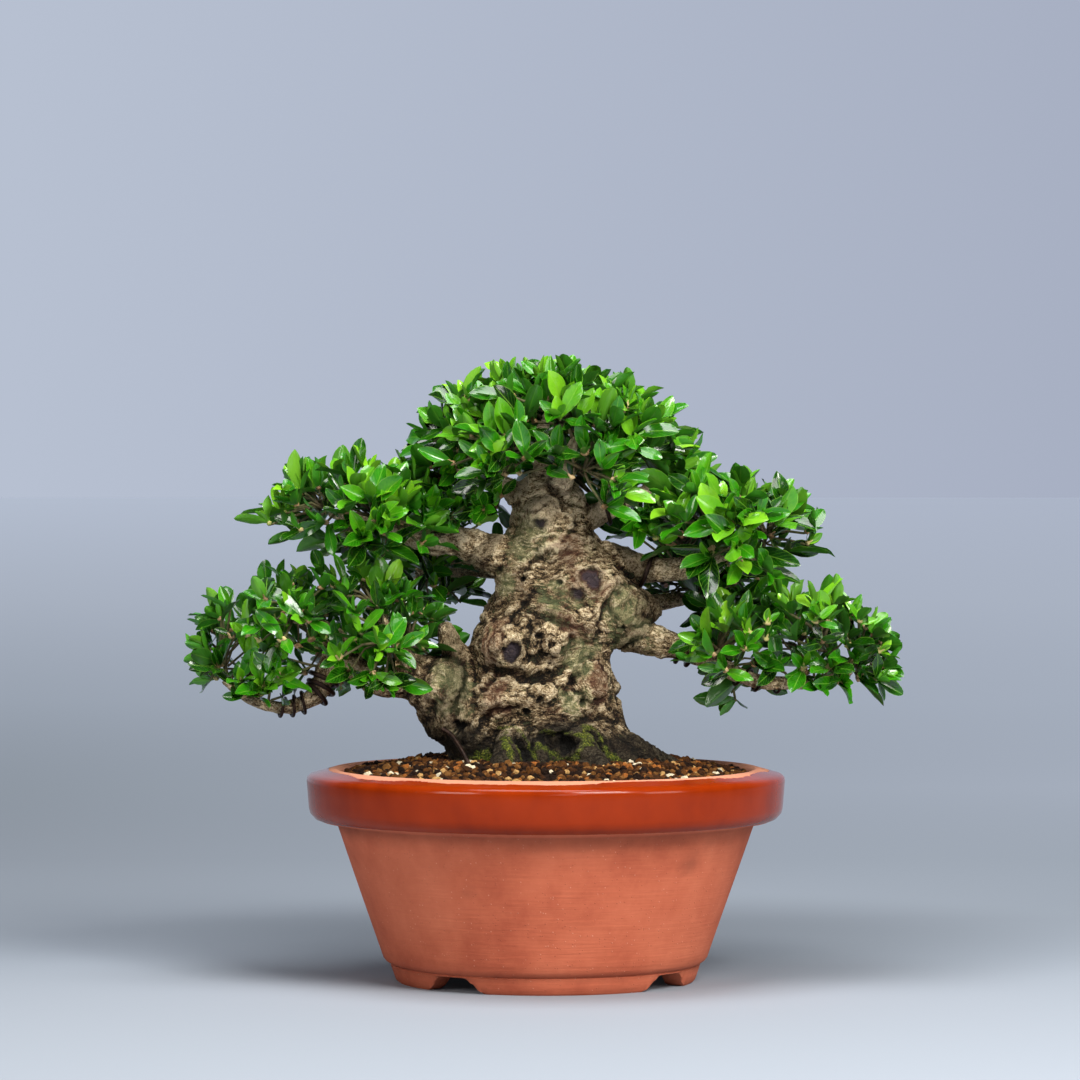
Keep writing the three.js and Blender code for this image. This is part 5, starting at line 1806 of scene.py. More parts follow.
@dataclass(frozen=True)
class Earthenware:
    """Unglazed salmon earthenware with a red-brown glaze on its band.

    The body is dull and sandy with faint turning marks. The glaze is wet-looking and thin at its edges.
    """

    name: str = "glazed earthenware"
    body: str = "#bb6246"
    warm: str = "#c96f51"
    soot_and_shade: str = "#6f3a2c"
    lip: str = "#cb8f72"
    glaze: str = "#892903"
    glaze_deep: str = "#7f2403"

    def material(self) -> bpy.types.Material:
        """Makes the clay and its glaze, which lies where the stored coat says, with an uneven edge."""
        material, add, shader = new_material(self.name)
        coat = add("ShaderNodeAttribute", attribute_name="glaze_coat")
        grime = add("ShaderNodeAttribute", attribute_name="grime")
        spot = add("ShaderNodeTexCoord").outputs["Object"]
        clouds = add(
            "ShaderNodeTexNoise", {"Vector": spot, "Scale": 1 / (60 * MM), "Detail": 9.0, "Roughness": 0.68}
        )
        tone = add("ShaderNodeValToRGB", {0: clouds.outputs["Fac"]})
        set_stops(tone, [(0.3, "#a34e37"), (0.5, self.body), (0.7, self.warm)])
        # Sand grains of about 1 mm, pale and dark.
        sand = add("ShaderNodeTexVoronoi", {"Vector": spot, "Scale": 1 / (1.5 * MM)})
        pick = add("ShaderNodeSeparateColor", {0: sand.outputs["Color"]})
        near = add(
            "ShaderNodeMapRange", {"Value": sand.outputs["Distance"], "From Min": 0.34, "From Max": 0.2}
        )
        rare = add("ShaderNodeMath", {0: pick, 1: 0.88}, operation="GREATER_THAN")
        grit = add("ShaderNodeMath", {0: near, 1: rare}, operation="MULTIPLY")
        grit_tone = add("ShaderNodeValToRGB", {0: pick.outputs[1]})
        set_stops(grit_tone, [(0.55, "#8f4733"), (0.7, "#dfa388")])
        grit_share = add("ShaderNodeMath", {0: grit, 1: 0.4}, operation="MULTIPLY")
        sandy = add("ShaderNodeMix", {0: grit_share, 6: tone, 7: grit_tone}, data_type="RGBA")
        smudge = add(
            "ShaderNodeTexNoise", {"Vector": spot, "Scale": 1 / (16 * MM), "Detail": 4.0, "Roughness": 0.7}
        )
        # Smudges and the stored marks mix towards a sooty colour: real smudges, and painted shadow under the
        # band.
        smudge_and_shade = add(
            "ShaderNodeMath", {0: smudge.outputs["Fac"], 1: 0.5, 2: grime.outputs["Fac"]},
            operation="MULTIPLY_ADD"
        )
        smudge_and_shade = add("ShaderNodeMapRange", {"Value": smudge_and_shade, "From Min": 0.42, "From Max": 1.1, "To Max": 0.75})
        smudged_and_shaded = add("ShaderNodeMix", {0: smudge_and_shade, 6: sandy.outputs[2], 7: linear(self.soot_and_shade)}, data_type="RGBA")
        pink = add("ShaderNodeAttribute", attribute_name="bare_lip")
        lipped = add(
            "ShaderNodeMix", {0: pink.outputs["Fac"], 6: smudged_and_shaded.outputs[2], 7: linear(self.lip)},
            data_type="RGBA"
        )
        # The glaze breaks along its edges, with small chips.
        ragged = add(
            "ShaderNodeTexNoise", {"Vector": spot, "Scale": 1 / (5 * MM), "Detail": 4.0, "Roughness": 0.65}
        )
        covered = add(
            "ShaderNodeMath", {0: ragged.outputs["Fac"], 1: 0.5, 2: coat.outputs["Fac"]},
            operation="MULTIPLY_ADD"
        )
        covered = add("ShaderNodeMapRange", {"Value": covered, "From Min": 0.72, "From Max": 0.8})
        streaks = add("ShaderNodeMapping", {"Vector": spot, "Scale": (1.0, 1.0, 0.6)})
        pool = add("ShaderNodeTexNoise", {"Vector": streaks, "Scale": 1 / (24 * MM), "Detail": 4.0})
        glaze_tone = add("ShaderNodeValToRGB", {0: pool.outputs["Fac"]})
        set_stops(glaze_tone, [(0.3, self.glaze_deep), (0.5, self.glaze), (0.8, "#932e06")])
        surface = add("ShaderNodeMix", {0: covered, 6: lipped.outputs[2], 7: glaze_tone}, data_type="RGBA")
        gloss = add("ShaderNodeMapRange", {"Value": covered, "To Min": 0.86, "To Max": 0.16})
        lines = add("ShaderNodeMapping", {"Vector": spot, "Scale": (0.05, 0.05, 1.0)})
        turning = add("ShaderNodeTexNoise", {"Vector": lines, "Scale": 1 / (1.6 * MM), "Detail": 3.0})
        rough = add(
            "ShaderNodeMath", {0: grit, 1: 0.8, 2: turning.outputs["Fac"]}, operation="MULTIPLY_ADD"
        )
        bare = add("ShaderNodeMapRange", {"Value": covered, "To Min": 1.0, "To Max": 0.12})
        rough = add("ShaderNodeMath", {0: rough, 1: bare}, operation="MULTIPLY")
        relief = add("ShaderNodeBump", {"Height": rough, "Strength": 0.55, "Distance": 0.5 * MM})
        feed(
            shader,
            {
                "Base Color": surface.outputs[2], "Roughness": gloss, "Normal": relief,
                "Specular IOR Level": 0.2
            }
        )
        return material


@dataclass
class Pot:
    """The round clay pot, with its band, groove, foot arches and drainage holes.

    Args:
        profile: Radius and height from the drainage hole under the floor, outside and back inside.
    """

    profile: tuple[tuple[float, float], ...] = (
        (21, 12), (50, 12), (79, 12), (80.4, 11), (81, 1.2), (82, 0), (92.6, 0), (94, 1.4), (95.6, 6),
        (97.0, 10.0), (96.4, 10.9), (97.6, 11.6), (100, 13.2), (101.6, 15.2), (108, 34), (116, 57),
        (124, 80), (129.6, 96), (130.6, 98.6), (132.6, 100.2), (141, 101), (144.6, 102.4), (147.6, 105.8),
        (148.4, 109), (149.2, 118), (149.9, 125.6), (149.6, 127.8), (148, 129.3), (144, 130.4),
        (137, 132.3), (133.6, 133.3), (131.4, 133.1), (129.6, 131.6), (128.6, 129), (124.5, 115),
        (120.2, 98), (106, 60), (92, 22), (60, 22), (21, 22)
    )
    foot_inner: float = 80
    arch_width: float = 42
    arch_height: float = 9.5
    first_arch: float = -37
    wire_hole: float = 5
    wire_hole_distance: float = 52
    sides: int = 288
    finish: Earthenware = field(default_factory=Earthenware)

    def arch(self, x: float, y: float) -> float:
        """The height of the foot's arches over a place on the ground."""
        lift = 0.0
        for quarter in range(4):
            facing = math.radians(self.first_arch - 90 + 90 * quarter)
            forward = x * math.cos(facing) + y * math.sin(facing)
            off = abs(-x * math.sin(facing) + y * math.cos(facing))
            if forward > 0:
                edge = 1 - smooth_step(off, self.arch_width / 2 - 12, self.arch_width / 2 + 1)
                lift = max(lift, self.arch_height * float(edge))
        return lift

    def build(self) -> bpy.types.Object:
        """Turns the profile, lifts the arches, bores the holes and dresses the pot.

        Returns:
            The finished pot.
        """
        fine: list[tuple[float, float]] = []
        for (r0, z0), (r1, z1) in zip(self.profile, self.profile[1:]):
            steps = max(1, round(math.hypot(r1 - r0, z1 - z0) / 6))
            fine.extend((r0 + (r1 - r0) * k / steps, z0 + (z1 - z0) * k / steps) for k in range(steps))
        fine.append(self.profile[-1])
        places, faces = [], []
        for radius, height in fine:
            for side in range(self.sides):
                angle = side / self.sides * 2 * math.pi
                hand = 0.25 * math.sin(2 * angle + height / 40) + 0.15 * math.sin(5 * angle - height / 25)
                reach = radius + (hand if radius > 96 else 0.0)
                x, y = reach * math.cos(angle), reach * math.sin(angle)
                lift = self.arch(x, y) if radius > self.foot_inner and height < 9.6 else 0.0
                places.append((x, y, max(height, lift)))
        rows = len(fine)
        for row in range(rows):
            after_row = (row + 1) % rows
            for side in range(self.sides):
                after = (side + 1) % self.sides
                low, high = row * self.sides, after_row * self.sides
                faces.append((low + side, low + after, high + after, high + side))
        made = new_mesh("clay_pot", places, faces)
        cutters = []
        for hole in range(4):
            angle = math.radians(45 + 90 * hole)
            middle = np.array([math.cos(angle), math.sin(angle), 0]) * self.wire_hole_distance
            tube, rings = tube_mesh(
                [
                    (*middle[:2], 6, self.wire_hole), (*middle[:2], 17, self.wire_hole),
                    (*middle[:2], 28, self.wire_hole)
                ],
                20, 1, 0.0
            )
            cutter = new_mesh(f"bore_{hole}", tube, rings)
            cutters.append(cutter)
            cut = made.modifiers.new(cutter.name, "BOOLEAN")
            cut.object = cutter
            cut.operation = "DIFFERENCE"
            cut.solver = "EXACT"
        settle(made)
        for cutter in cutters:
            bpy.data.objects.remove(cutter)
        spots = places_of(made.data)
        radius, height = np.hypot(spots[:, 0], spots[:, 1]), spots[:, 2]
        turn = np.arctan2(spots[:, 1], spots[:, 0])
        waver = 0.5 * np.sin(3 * turn + 1) + 0.4 * np.sin(7 * turn) + 0.3 * np.sin(13 * turn + 2)
        low = smooth_step(height, 101.2, 102.6) * smooth_step(radius, 132, 134)
        high = 1 - smooth_step(height + waver * 0.4, 131.6, 132.8)
        store(made.data, "glaze_coat", "FLOAT", low * high * smooth_step(radius, 133.6, 135.6))
        store(made.data, "bare_lip", "FLOAT", smooth_step(height, 129, 130.5) * 0.8)
        # Painted shadow on the body under the band, darker in the groove and near the ground, and two
        # smudges.
        painted_shadow_under_band = 0.5 * smooth_step(height, 84, 97) * (radius < 131.5)
        groove = 0.5 * np.exp(-(((height - 11) / 1.6) ** 2)) + 0.3 * (1 - smooth_step(height, 2, 9))
        right = np.exp(-(((turn - math.radians(-45)) / 0.09) ** 2) - ((height - 80) / 8) ** 2)
        left = np.exp(-(((turn - math.radians(-113)) / 0.07) ** 2) - ((height - 65) / 5) ** 2)
        store(
            made.data, "grime", "FLOAT", np.maximum.reduce([painted_shadow_under_band, groove, 0.6 * right, 0.45 * left])
        )
        made.data.polygons.foreach_set("use_smooth", [True] * len(made.data.polygons))
        made.data.set_sharp_from_angle(angle=math.radians(42))
        made.data.materials.append(self.finish.material())
        place(made, "clay", ["pot"])
        return made


@dataclass(frozen=True)
class Grit:
    """Potting grit. It is baked clay and pumice: dull, crumbly, mostly dark red-brown with pale stones."""

    name: str = "potting grit"

    def material(self) -> bpy.types.Material:
        """Makes the grit: each granule takes its colour from its stored tint."""
        material, add, shader = new_material(self.name)
        tint = add("ShaderNodeAttribute", attribute_name="tint")
        spot = add("ShaderNodeTexCoord").outputs["Object"]
        ramp = add("ShaderNodeValToRGB", {0: tint.outputs["Fac"]})
        ramp.color_ramp.interpolation = "CONSTANT"
        set_stops(
            ramp,
            [
                (0.0, "#190b03"), (0.26, "#3b2009"), (0.52, "#5c3714"), (0.76, "#7c5328"),
                (0.87, "#a0602a"), (0.92, "#bf955c"), (0.955, "#e6d8b8")
            ]
        )
        crumb = add(
            "ShaderNodeTexNoise", {"Vector": spot, "Scale": 1 / (1.1 * MM), "Detail": 4.0, "Roughness": 0.7}
        )
        shade = add(
            "ShaderNodeMapRange",
            {"Value": crumb.outputs["Fac"], "From Min": 0.3, "From Max": 0.7, "To Min": 0.45}
        )
        dappled = add("ShaderNodeMix", {0: shade, 6: linear("#1f120a"), 7: ramp}, data_type="RGBA")
        relief = add(
            "ShaderNodeBump", {"Height": crumb.outputs["Fac"], "Strength": 0.8, "Distance": 0.7 * MM}
        )
        feed(
            shader,
            {
                "Base Color": dappled.outputs[2], "Normal": relief, "Roughness": 0.92,
                "Specular IOR Level": 0.15
            }
        )
        return material


@dataclass
class SoilBed:
    """The granular soil that fills the pot round the roots.

    Args:
        top: The height of its flat part.
        mound: How far it rises to the trunk.
        bank: How far it rises against the pot's wall.
        floor: The height of its underside.
        edge: Its radius at the top.
        foot: Its radius at the floor.
        neck: The height where it is narrower than its top by the taper.
        spacing: The least distance between granules.
        granule: The radius of a common granule.
    """

    top: float = 129
    mound: float = 7.5
    bank: float = 3.4
    floor: float = 22.5
    edge: float = 127.0
    foot: float = 91.4
    neck: float = 98.0
    taper: float = 7.6
    spacing: float = 3.2
    granule: float = 2.35
    finish: Grit = field(default_factory=Grit)

    def height(self, radius: Any, turn: Any) -> Any:
        """The height of the bed at a radius and a compass angle."""
        heap = self.mound * (1 - smooth_step(radius, 72, self.edge - 2)) + self.bank
        waves = 0.7 * np.sin(3 * turn + radius / 11) + 0.5 * np.sin(7 * turn - radius / 7)
        return self.top - 1.6 + heap + waves * 0.6

    def tree(self) -> Any:
        """The Geometry Nodes tree that scatters granules over the open ground.

        Returns:
            The tree.
        """
        tree, add, source, result = geometry_tree(
            "granule scatter",
            {
                "Spacing": "NodeSocketFloat", "Granule": "NodeSocketFloat", "Seed": "NodeSocketInt",
                "Granules": "NodeSocketCollection", "Grit": "NodeSocketMaterial"
            }
        )
        ground = add("GeometryNodeInputNamedAttribute", {0: "open_ground"}, data_type="FLOAT")
        points = add(
            "GeometryNodeDistributePointsOnFaces",
            {
                "Mesh": source.outputs["Geometry"], "Distance Min": source.outputs["Spacing"],
                "Density Max": 1 / (1.6 * MM) ** 2, "Density Factor": ground, "Seed": source.outputs["Seed"]
            },
            distribute_method="POISSON"
        )
        shapes = add(
            "GeometryNodeCollectionInfo",
            {"Collection": source.outputs["Granules"], "Separate Children": True, "Reset Children": True}
        )
        tint = add("FunctionNodeRandomValue", {2: 0.0, 3: 1.0, "Seed": 11}, data_type="FLOAT")
        tinted = add(
            "GeometryNodeStoreNamedAttribute",
            {"Geometry": points, "Name": "tint", "Value": tint.outputs[1]}, data_type="FLOAT",
            domain="POINT"
        )
        turn = add(
            "FunctionNodeRandomValue", {0: (0.0, 0.0, 0.0), 1: (6.28, 6.28, 6.28), "Seed": 5},
            data_type="FLOAT_VECTOR"
        )
        facing = add("FunctionNodeEulerToRotation", {0: turn})
        # Most granules are small, and a few are pumice of 5 mm and more.
        size = add("FunctionNodeRandomValue", {2: 0.0, 3: 1.0, "Seed": 23}, data_type="FLOAT")
        size = add("ShaderNodeMath", {0: size.outputs[1], 1: 2.6}, operation="POWER")
        size = add("ShaderNodeMapRange", {"Value": size, "To Min": 0.72, "To Max": 1.5})
        size = add("ShaderNodeMath", {0: size, 1: source.outputs["Granule"]}, operation="MULTIPLY")
        stones = add(
            "GeometryNodeInstanceOnPoints",
            {"Points": tinted, "Instance": shapes, "Pick Instance": True, "Rotation": facing, "Scale": size}
        )
        both = add("GeometryNodeJoinGeometry")
        feed(both, {0: stones})
        feed(both, {0: source.outputs["Geometry"]})
        whole = add("GeometryNodeRealizeInstances", {0: both})
        dressed = add("GeometryNodeSetMaterial", {"Geometry": whole, "Material": source.outputs["Grit"]})
        feed(result, {0: dressed})
        return tree

    def build(self, wood: bpy.types.Object) -> bpy.types.Object:
        """Fills the pot and scatters the granules clear of the wood.

        Args:
            wood: The finished trunk.

        Returns:
            The finished soil.
        """
        sides = 128
        walls = [(self.foot, self.floor), (self.edge - self.taper, self.neck)]
        tops = [self.edge - 0.4, *np.arange(self.edge - 3, 40, -3.2)]
        places, faces, open_ground = [(0.0, 0.0, self.floor)], [], [0.0]
        for radius, height in walls:
            for side in range(sides):
                angle = side / sides * 2 * math.pi
                places.append((radius * math.cos(angle), radius * math.sin(angle), height))
                open_ground.append(0.0)
        skin = BVHTree.FromPolygons(
            places_of(wood.data).tolist(), [tuple(f.vertices) for f in wood.data.polygons]
        )
        for number, radius in enumerate(tops):
            for side in range(sides):
                angle = side / sides * 2 * math.pi
                level = float(self.height(radius, angle))
                x, y = radius * math.cos(angle), radius * math.sin(angle)
                places.append((x, y, level))
                near, normal, _, _ = skin.find_nearest(Vector((x, y, level + 1)))
                buried = (Vector((x, y, level + 1)) - near).dot(normal) < 0
                open_ground.append(0.0 if buried or number == 0 else 1.0)
        places.append((0.0, 0.0, self.top - 2))
        open_ground.append(0.0)
        for side in range(sides):
            after = (side + 1) % sides
            faces.append((0, 1 + after, 1 + side))
        count = (len(places) - 2) // sides
        for row in range(count - 1):
            low, high = 1 + row * sides, 1 + (row + 1) * sides
            for side in range(sides):
                after = (side + 1) % sides
                faces.append((low + side, low + after, high + after, high + side))
        last = 1 + (count - 1) * sides
        for side in range(sides):
            faces.append((last + side, last + (side + 1) % sides, len(places) - 1))
        made = new_mesh("potting_soil", places, faces)
        store(made.data, "open_ground", "FLOAT", open_ground)
        # The sheet under the granules takes the darkest tint, as painted shade in the gaps between them.
        store(made.data, "tint", "FLOAT", [0.05] * len(places))
        heap = bpy.data.collections.new("granules")
        forms = []
        for form in range(4):
            bpy.ops.mesh.primitive_ico_sphere_add(subdivisions=2 if form == 3 else 1, radius=1.0)
            crumb = bpy.context.object
            crumb.name = f"granule_{form}"
            for vertex in crumb.data.vertices:
                number = vertex.index
                stretch = Vector((1.1, 0.95, 0.8)) if form % 2 else Vector((0.9, 1.05, 0.95))
                vertex.co = vertex.co * stretch * (0.78 + 0.44 * draw(form, number, 3))
            for holder in list(crumb.users_collection):
                holder.objects.unlink(crumb)
            heap.objects.link(crumb)
            forms.append(crumb)
        inputs = {
            "Spacing": self.spacing * MM, "Granule": self.granule * MM, "Seed": SEED, "Granules": heap,
            "Grit": self.finish.material()
        }
        grow(made, self.tree(), inputs)
        for form in forms:
            bpy.data.objects.remove(form)
        bpy.data.collections.remove(heap)
        place(made, "soil", ["soil"])
        return made


@dataclass(frozen=True)
class DarkAluminium:
    """Anodised aluminium wire. It is dark copper-brown, smooth and a little scuffed."""

    name: str = "anodised aluminium wire"
    colour: str = "#3a2a22"

    def material(self) -> bpy.types.Material:
        """Makes the wire: dark metal with scuffs."""
        material, add, shader = new_material(self.name)
        spot = add("ShaderNodeTexCoord").outputs["Object"]
        scuffs = add(
            "ShaderNodeTexNoise", {"Vector": spot, "Scale": 1 / (3 * MM), "Detail": 4.0, "Roughness": 0.7}
        )
        tone = add("ShaderNodeValToRGB", {0: scuffs.outputs["Fac"]})
        set_stops(tone, [(0.35, "#1f1714"), (0.6, self.colour), (0.8, "#5b4538")])
        gloss = add("ShaderNodeMapRange", {"Value": scuffs.outputs["Fac"], "To Min": 0.28, "To Max": 0.6})
        relief = add(
            "ShaderNodeBump", {"Height": scuffs.outputs["Fac"], "Strength": 0.3, "Distance": 0.15 * MM}
        )
        feed(shader, {"Base Color": tone, "Roughness": gloss, "Normal": relief, "Metallic": 0.85})
        return material


@dataclass(frozen=True)
class Coil:
    """A wire coiled on a limb: the stretch of it from point to point, the turns and the wire's radius."""

    limb: str
    start: float
    end: float
    turns: float
    radius: float


COILS = {
    "wire_low_left": Coil("low_left", 6.1, 7.2, 3, 1.5),
    "wire_low_left_tip": Coil("low_left", 7.6, 9.0, 3, 1),
    "wire_low_right": Coil("low_right", 1.9, 2.6, 1.6, 1.5),
    "wire_low_right_tip": Coil("low_right", 4.1, 5.6, 2.4, 1),
    "wire_up_right": Coil("up_right", 1.8, 2.6, 1.3, 1.5),
    "wire_crown": Coil("crown_right", 1.0, 1.9, 1.6, 1.3)
}


@dataclass
class ShapingWires:
    """The wires that shape the limbs, and the one that ties the tree down.

    Args:
        tie_points: The path of the tie-down wire.
        tie_radius: Its radius.
    """

    tie_points: tuple[Numbers, ...] = (
        (-64, -28, 159), (-59, -31, 156), (-55, -36, 151), (-51, -42, 145), (-47.5, -46, 138),
        (-46, -48, 130), (-46, -49, 118)
    )
    tie_radius: float = 1.5
    steps: int = 26
    clearance: float = 0.35
    finish: DarkAluminium = field(default_factory=DarkAluminium)

    def tree(self) -> Any:
        """The Geometry Nodes tree that sweeps a round wire along its path.

        Returns:
            The tree.
        """
        tree, add, source, result = geometry_tree(
            "wire sweep",
            {"Radius": "NodeSocketFloat", "Sides": "NodeSocketInt", "Metal": "NodeSocketMaterial"}
        )
        line = add("GeometryNodeMeshToCurve", {"Mesh": source.outputs["Geometry"]})
        ring = add(
            "GeometryNodeCurvePrimitiveCircle",
            {"Resolution": source.outputs["Sides"], "Radius": source.outputs["Radius"]}, mode="RADIUS"
        )
        swept = add(
            "GeometryNodeCurveToMesh",
            {"Curve": line, "Profile Curve": ring.outputs["Curve"], "Fill Caps": True}
        )
        whole = add("GeometryNodeRealizeInstances", {0: swept})
        dressed = add("GeometryNodeSetMaterial", {"Geometry": whole, "Material": source.outputs["Metal"]})
        feed(result, {0: dressed})
        return tree

    def coil_points(self, coil: Coil) -> list[Any]:
        """The path of a coiled wire."""
        path = LimbPath(LIMBS[coil.limb]["points"])
        steps = round(coil.turns * self.steps)
        points = []
        for step in range(steps + 1):
            here = path.at(coil.start + (coil.end - coil.start) * step / steps)
            angle = step / self.steps * 2 * math.pi
            reach = here.radius + coil.radius + self.clearance
            points.append(
                here.middle + reach * (here.side * math.cos(angle) + here.cross * math.sin(angle))
            )
        return points

    def build(self) -> None:
        """Sweeps every wire and places it."""
        tree = self.tree()
        metal = self.finish.material()
        paths = {name: (self.coil_points(coil), coil.radius) for name, coil in COILS.items()}
        tie = LimbPath([(*point, self.tie_radius) for point in self.tie_points])
        paths["wire_tie_down"] = ([tie.point(k / 6) for k in range(tie.last * 6 + 1)], self.tie_radius)
        for name, (points, radius) in paths.items():
            made = new_mesh(f"{name}_round", points, [], [(k, k + 1) for k in range(len(points) - 1)])
            grow(made, tree, {"Radius": radius * MM, "Sides": 12, "Metal": metal})
            made.data.polygons.foreach_set("use_smooth", [True] * len(made.data.polygons))
            made.data.set_sharp_from_angle(angle=math.radians(50))
            place(made, "wire", [name])


@dataclass(frozen=True)
class ScreenPlastic:
    """Moulded polyethylene net. It is dark, waxy and a little dusty."""

    name: str = "moulded polyethylene"

    def material(self) -> bpy.types.Material:
        """Makes the plastic: dark with dusty clouds."""
        material, add, shader = new_material(self.name)
        spot = add("ShaderNodeTexCoord").outputs["Object"]
        dust = add("ShaderNodeTexNoise", {"Vector": spot, "Scale": 1 / (8 * MM), "Detail": 4.0})
        tone = add("ShaderNodeValToRGB", {0: dust.outputs["Fac"]})
        set_stops(tone, [(0.4, "#232422"), (0.75, "#4b463e")])
        relief = add(
            "ShaderNodeBump", {"Height": dust.outputs["Fac"], "Strength": 0.2, "Distance": 0.2 * MM}
        )
        feed(shader, {"Base Color": tone, "Normal": relief, "Roughness": 0.55})
        return material


@dataclass
class DrainScreen:
    """The plastic net over the drainage hole.

    Args:
        size: Its side.
    """

    size: float = 58
    thickness: float = 1.2
    middle: float = 22.95
    bars: int = 15
    bar: float = 1.3
    finish: ScreenPlastic = field(default_factory=ScreenPlastic)

    def build(self) -> bpy.types.Object:
        """Lays two sets of bars with Geometry Nodes and places the net.

        Returns:
            The finished screen.
        """
        tree, add, source, result = geometry_tree(
            "net bars",
            {
                "Bars": "NodeSocketInt", "Start": "NodeSocketVector", "Step": "NodeSocketVector",
                "Plastic": "NodeSocketMaterial"
            }
        )
        line = add(
            "GeometryNodeMeshLine",
            {
                "Count": source.outputs["Bars"], "Start Location": source.outputs["Start"],
                "Offset": source.outputs["Step"]
            },
            mode="OFFSET", count_mode="TOTAL"
        )
        bars = add("GeometryNodeInstanceOnPoints", {"Points": line, "Instance": source.outputs["Geometry"]})
        real = add("GeometryNodeRealizeInstances", {0: bars})
        turned = add("GeometryNodeTransform", {"Geometry": real, "Rotation": (0.0, 0.0, math.pi / 2)})
        both = add("GeometryNodeJoinGeometry")
        feed(both, {0: real})
        feed(both, {0: turned})
        dressed = add("GeometryNodeSetMaterial", {"Geometry": both, "Material": source.outputs["Plastic"]})
        feed(result, {0: dressed})
        half, wide, tall = self.size / 2, self.bar / 2, self.thickness / 2
        ring = [(-wide, -tall), (wide, -tall), (wide * 0.7, tall), (-wide * 0.7, tall)]
        places = [(x, y, z) for y in (-half, half) for x, z in ring]
        faces = [(0, 1, 2, 3), (7, 6, 5, 4), (0, 4, 5, 1), (1, 5, 6, 2), (2, 6, 7, 3), (3, 7, 4, 0)]
        made = new_mesh("drain_net", places, faces)
        reach = half - wide
        step = 2 * reach / (self.bars - 1)
        inputs = {
            "Bars": self.bars, "Start": (-reach * MM, 0.0, self.middle * MM), "Step": (step * MM, 0.0, 0.0),
            "Plastic": self.finish.material()
        }
        grow(made, tree, inputs)
        made.data.polygons.foreach_set("use_smooth", [False] * len(made.data.polygons))
        place(made, "screen", ["drain_screen"])
        return made


@dataclass(frozen=True)
class StudioPaper:
    """Seamless studio paper. It is pale blue-grey and dull, and it glows a little far behind the object."""

    name: str = "seamless paper"
    near: str = "#989fa9"
    far: str = "#959da8"
    glow_left: tuple[tuple[float, str], ...] = (
        (0.0, "#afb8c8"), (0.25, "#9fa7b4"), (0.45, "#8b939e"), (0.62, "#6a7178"), (0.76, "#3c4045"),
        (0.88, "#000000")
    )
    glow_right: tuple[tuple[float, str], ...] = (
        (0.0, "#a5adbe"), (0.25, "#a1a9b7"), (0.45, "#979fac"), (0.62, "#868d99"), (0.76, "#565c64"),
        (0.88, "#17191c")
    )
    reach: float = 3.0
    shade: str = "#787f88"
    shade_middle: tuple[float, float, float] = (0.04, 0.27, 0.0)

    def material(self) -> bpy.types.Material:
        """Makes the paper. Its glow fades from far behind the object to nothing under it."""
        material, add, shader = new_material(self.name)
        spot = add("ShaderNodeTexCoord").outputs["Object"]
        parts = add("ShaderNodeSeparateXYZ", {0: spot})
        behind = add("ShaderNodeMath", {0: parts.outputs["Y"], 1: self.reach})
        behind = add("ShaderNodeMath", {0: behind, 1: 0.1}, operation="MAXIMUM")
        near = add("ShaderNodeMath", {0: self.reach, 1: behind}, operation="DIVIDE")
        across = add("ShaderNodeMath", {0: parts.outputs["X"], 1: behind}, operation="DIVIDE")
        across = add("ShaderNodeMapRange", {"Value": across, "From Min": -0.11, "From Max": 0.11})
        left = add("ShaderNodeValToRGB", {0: near})
        set_stops(left, self.glow_left)
        right = add("ShaderNodeValToRGB", {0: near})
        set_stops(right, self.glow_right)
        glow = add("ShaderNodeMix", {0: across, 6: left, 7: right}, data_type="RGBA")
        edge = add(
            "ShaderNodeMapRange", {"Value": near, "From Min": 0.92, "From Max": 1.05},
            interpolation_type="SMOOTHSTEP"
        )
        tone = add("ShaderNodeMix", {0: edge, 6: linear(self.far), 7: linear(self.near)}, data_type="RGBA")
        # The paper is a little darker where the tree keeps the light off.
        away = add("ShaderNodeVectorMath", {0: spot, 1: self.shade_middle}, operation="DISTANCE")
        clear = add(
            "ShaderNodeMapRange", {"Value": away.outputs["Value"], "From Min": 0.1, "From Max": 0.4},
            interpolation_type="SMOOTHSTEP"
        )
        tone = add("ShaderNodeMix", {0: clear, 6: linear(self.shade), 7: tone.outputs[2]}, data_type="RGBA")
        feed(
            shader,
            {
                "Emission Color": glow.outputs[2], "Base Color": tone.outputs[2], "Emission Strength": 1.0,
                "Roughness": 0.9, "Specular IOR Level": 0.15
            }
        )
        return material


@dataclass(frozen=True)
class Softbox:
    """A square soft light.

    Args:
        name: Its name.
        spot: Its place in metres.
        size: Its side in metres.
        power: Its power in watts.
        colour: Its colour.
    """

    name: str
    spot: tuple[float, float, float]
    size: float
    power: float
    colour: str

    def hang(self, aim: Numbers) -> None:
        """Hangs the light and turns it to a point in metres."""
        lamp = bpy.data.lights.new(self.name, "AREA")
        lamp.shape = "SQUARE"
        lamp.size = self.size
        lamp.energy = self.power
        lamp.color = linear(self.colour)[:3]
        made = bpy.data.objects.new(self.name, lamp)
        made.location = self.spot
        made.rotation_euler = (Vector(aim) - Vector(self.spot)).to_track_quat("-Z", "Y").to_euler()
        bpy.context.scene.collection.objects.link(made)


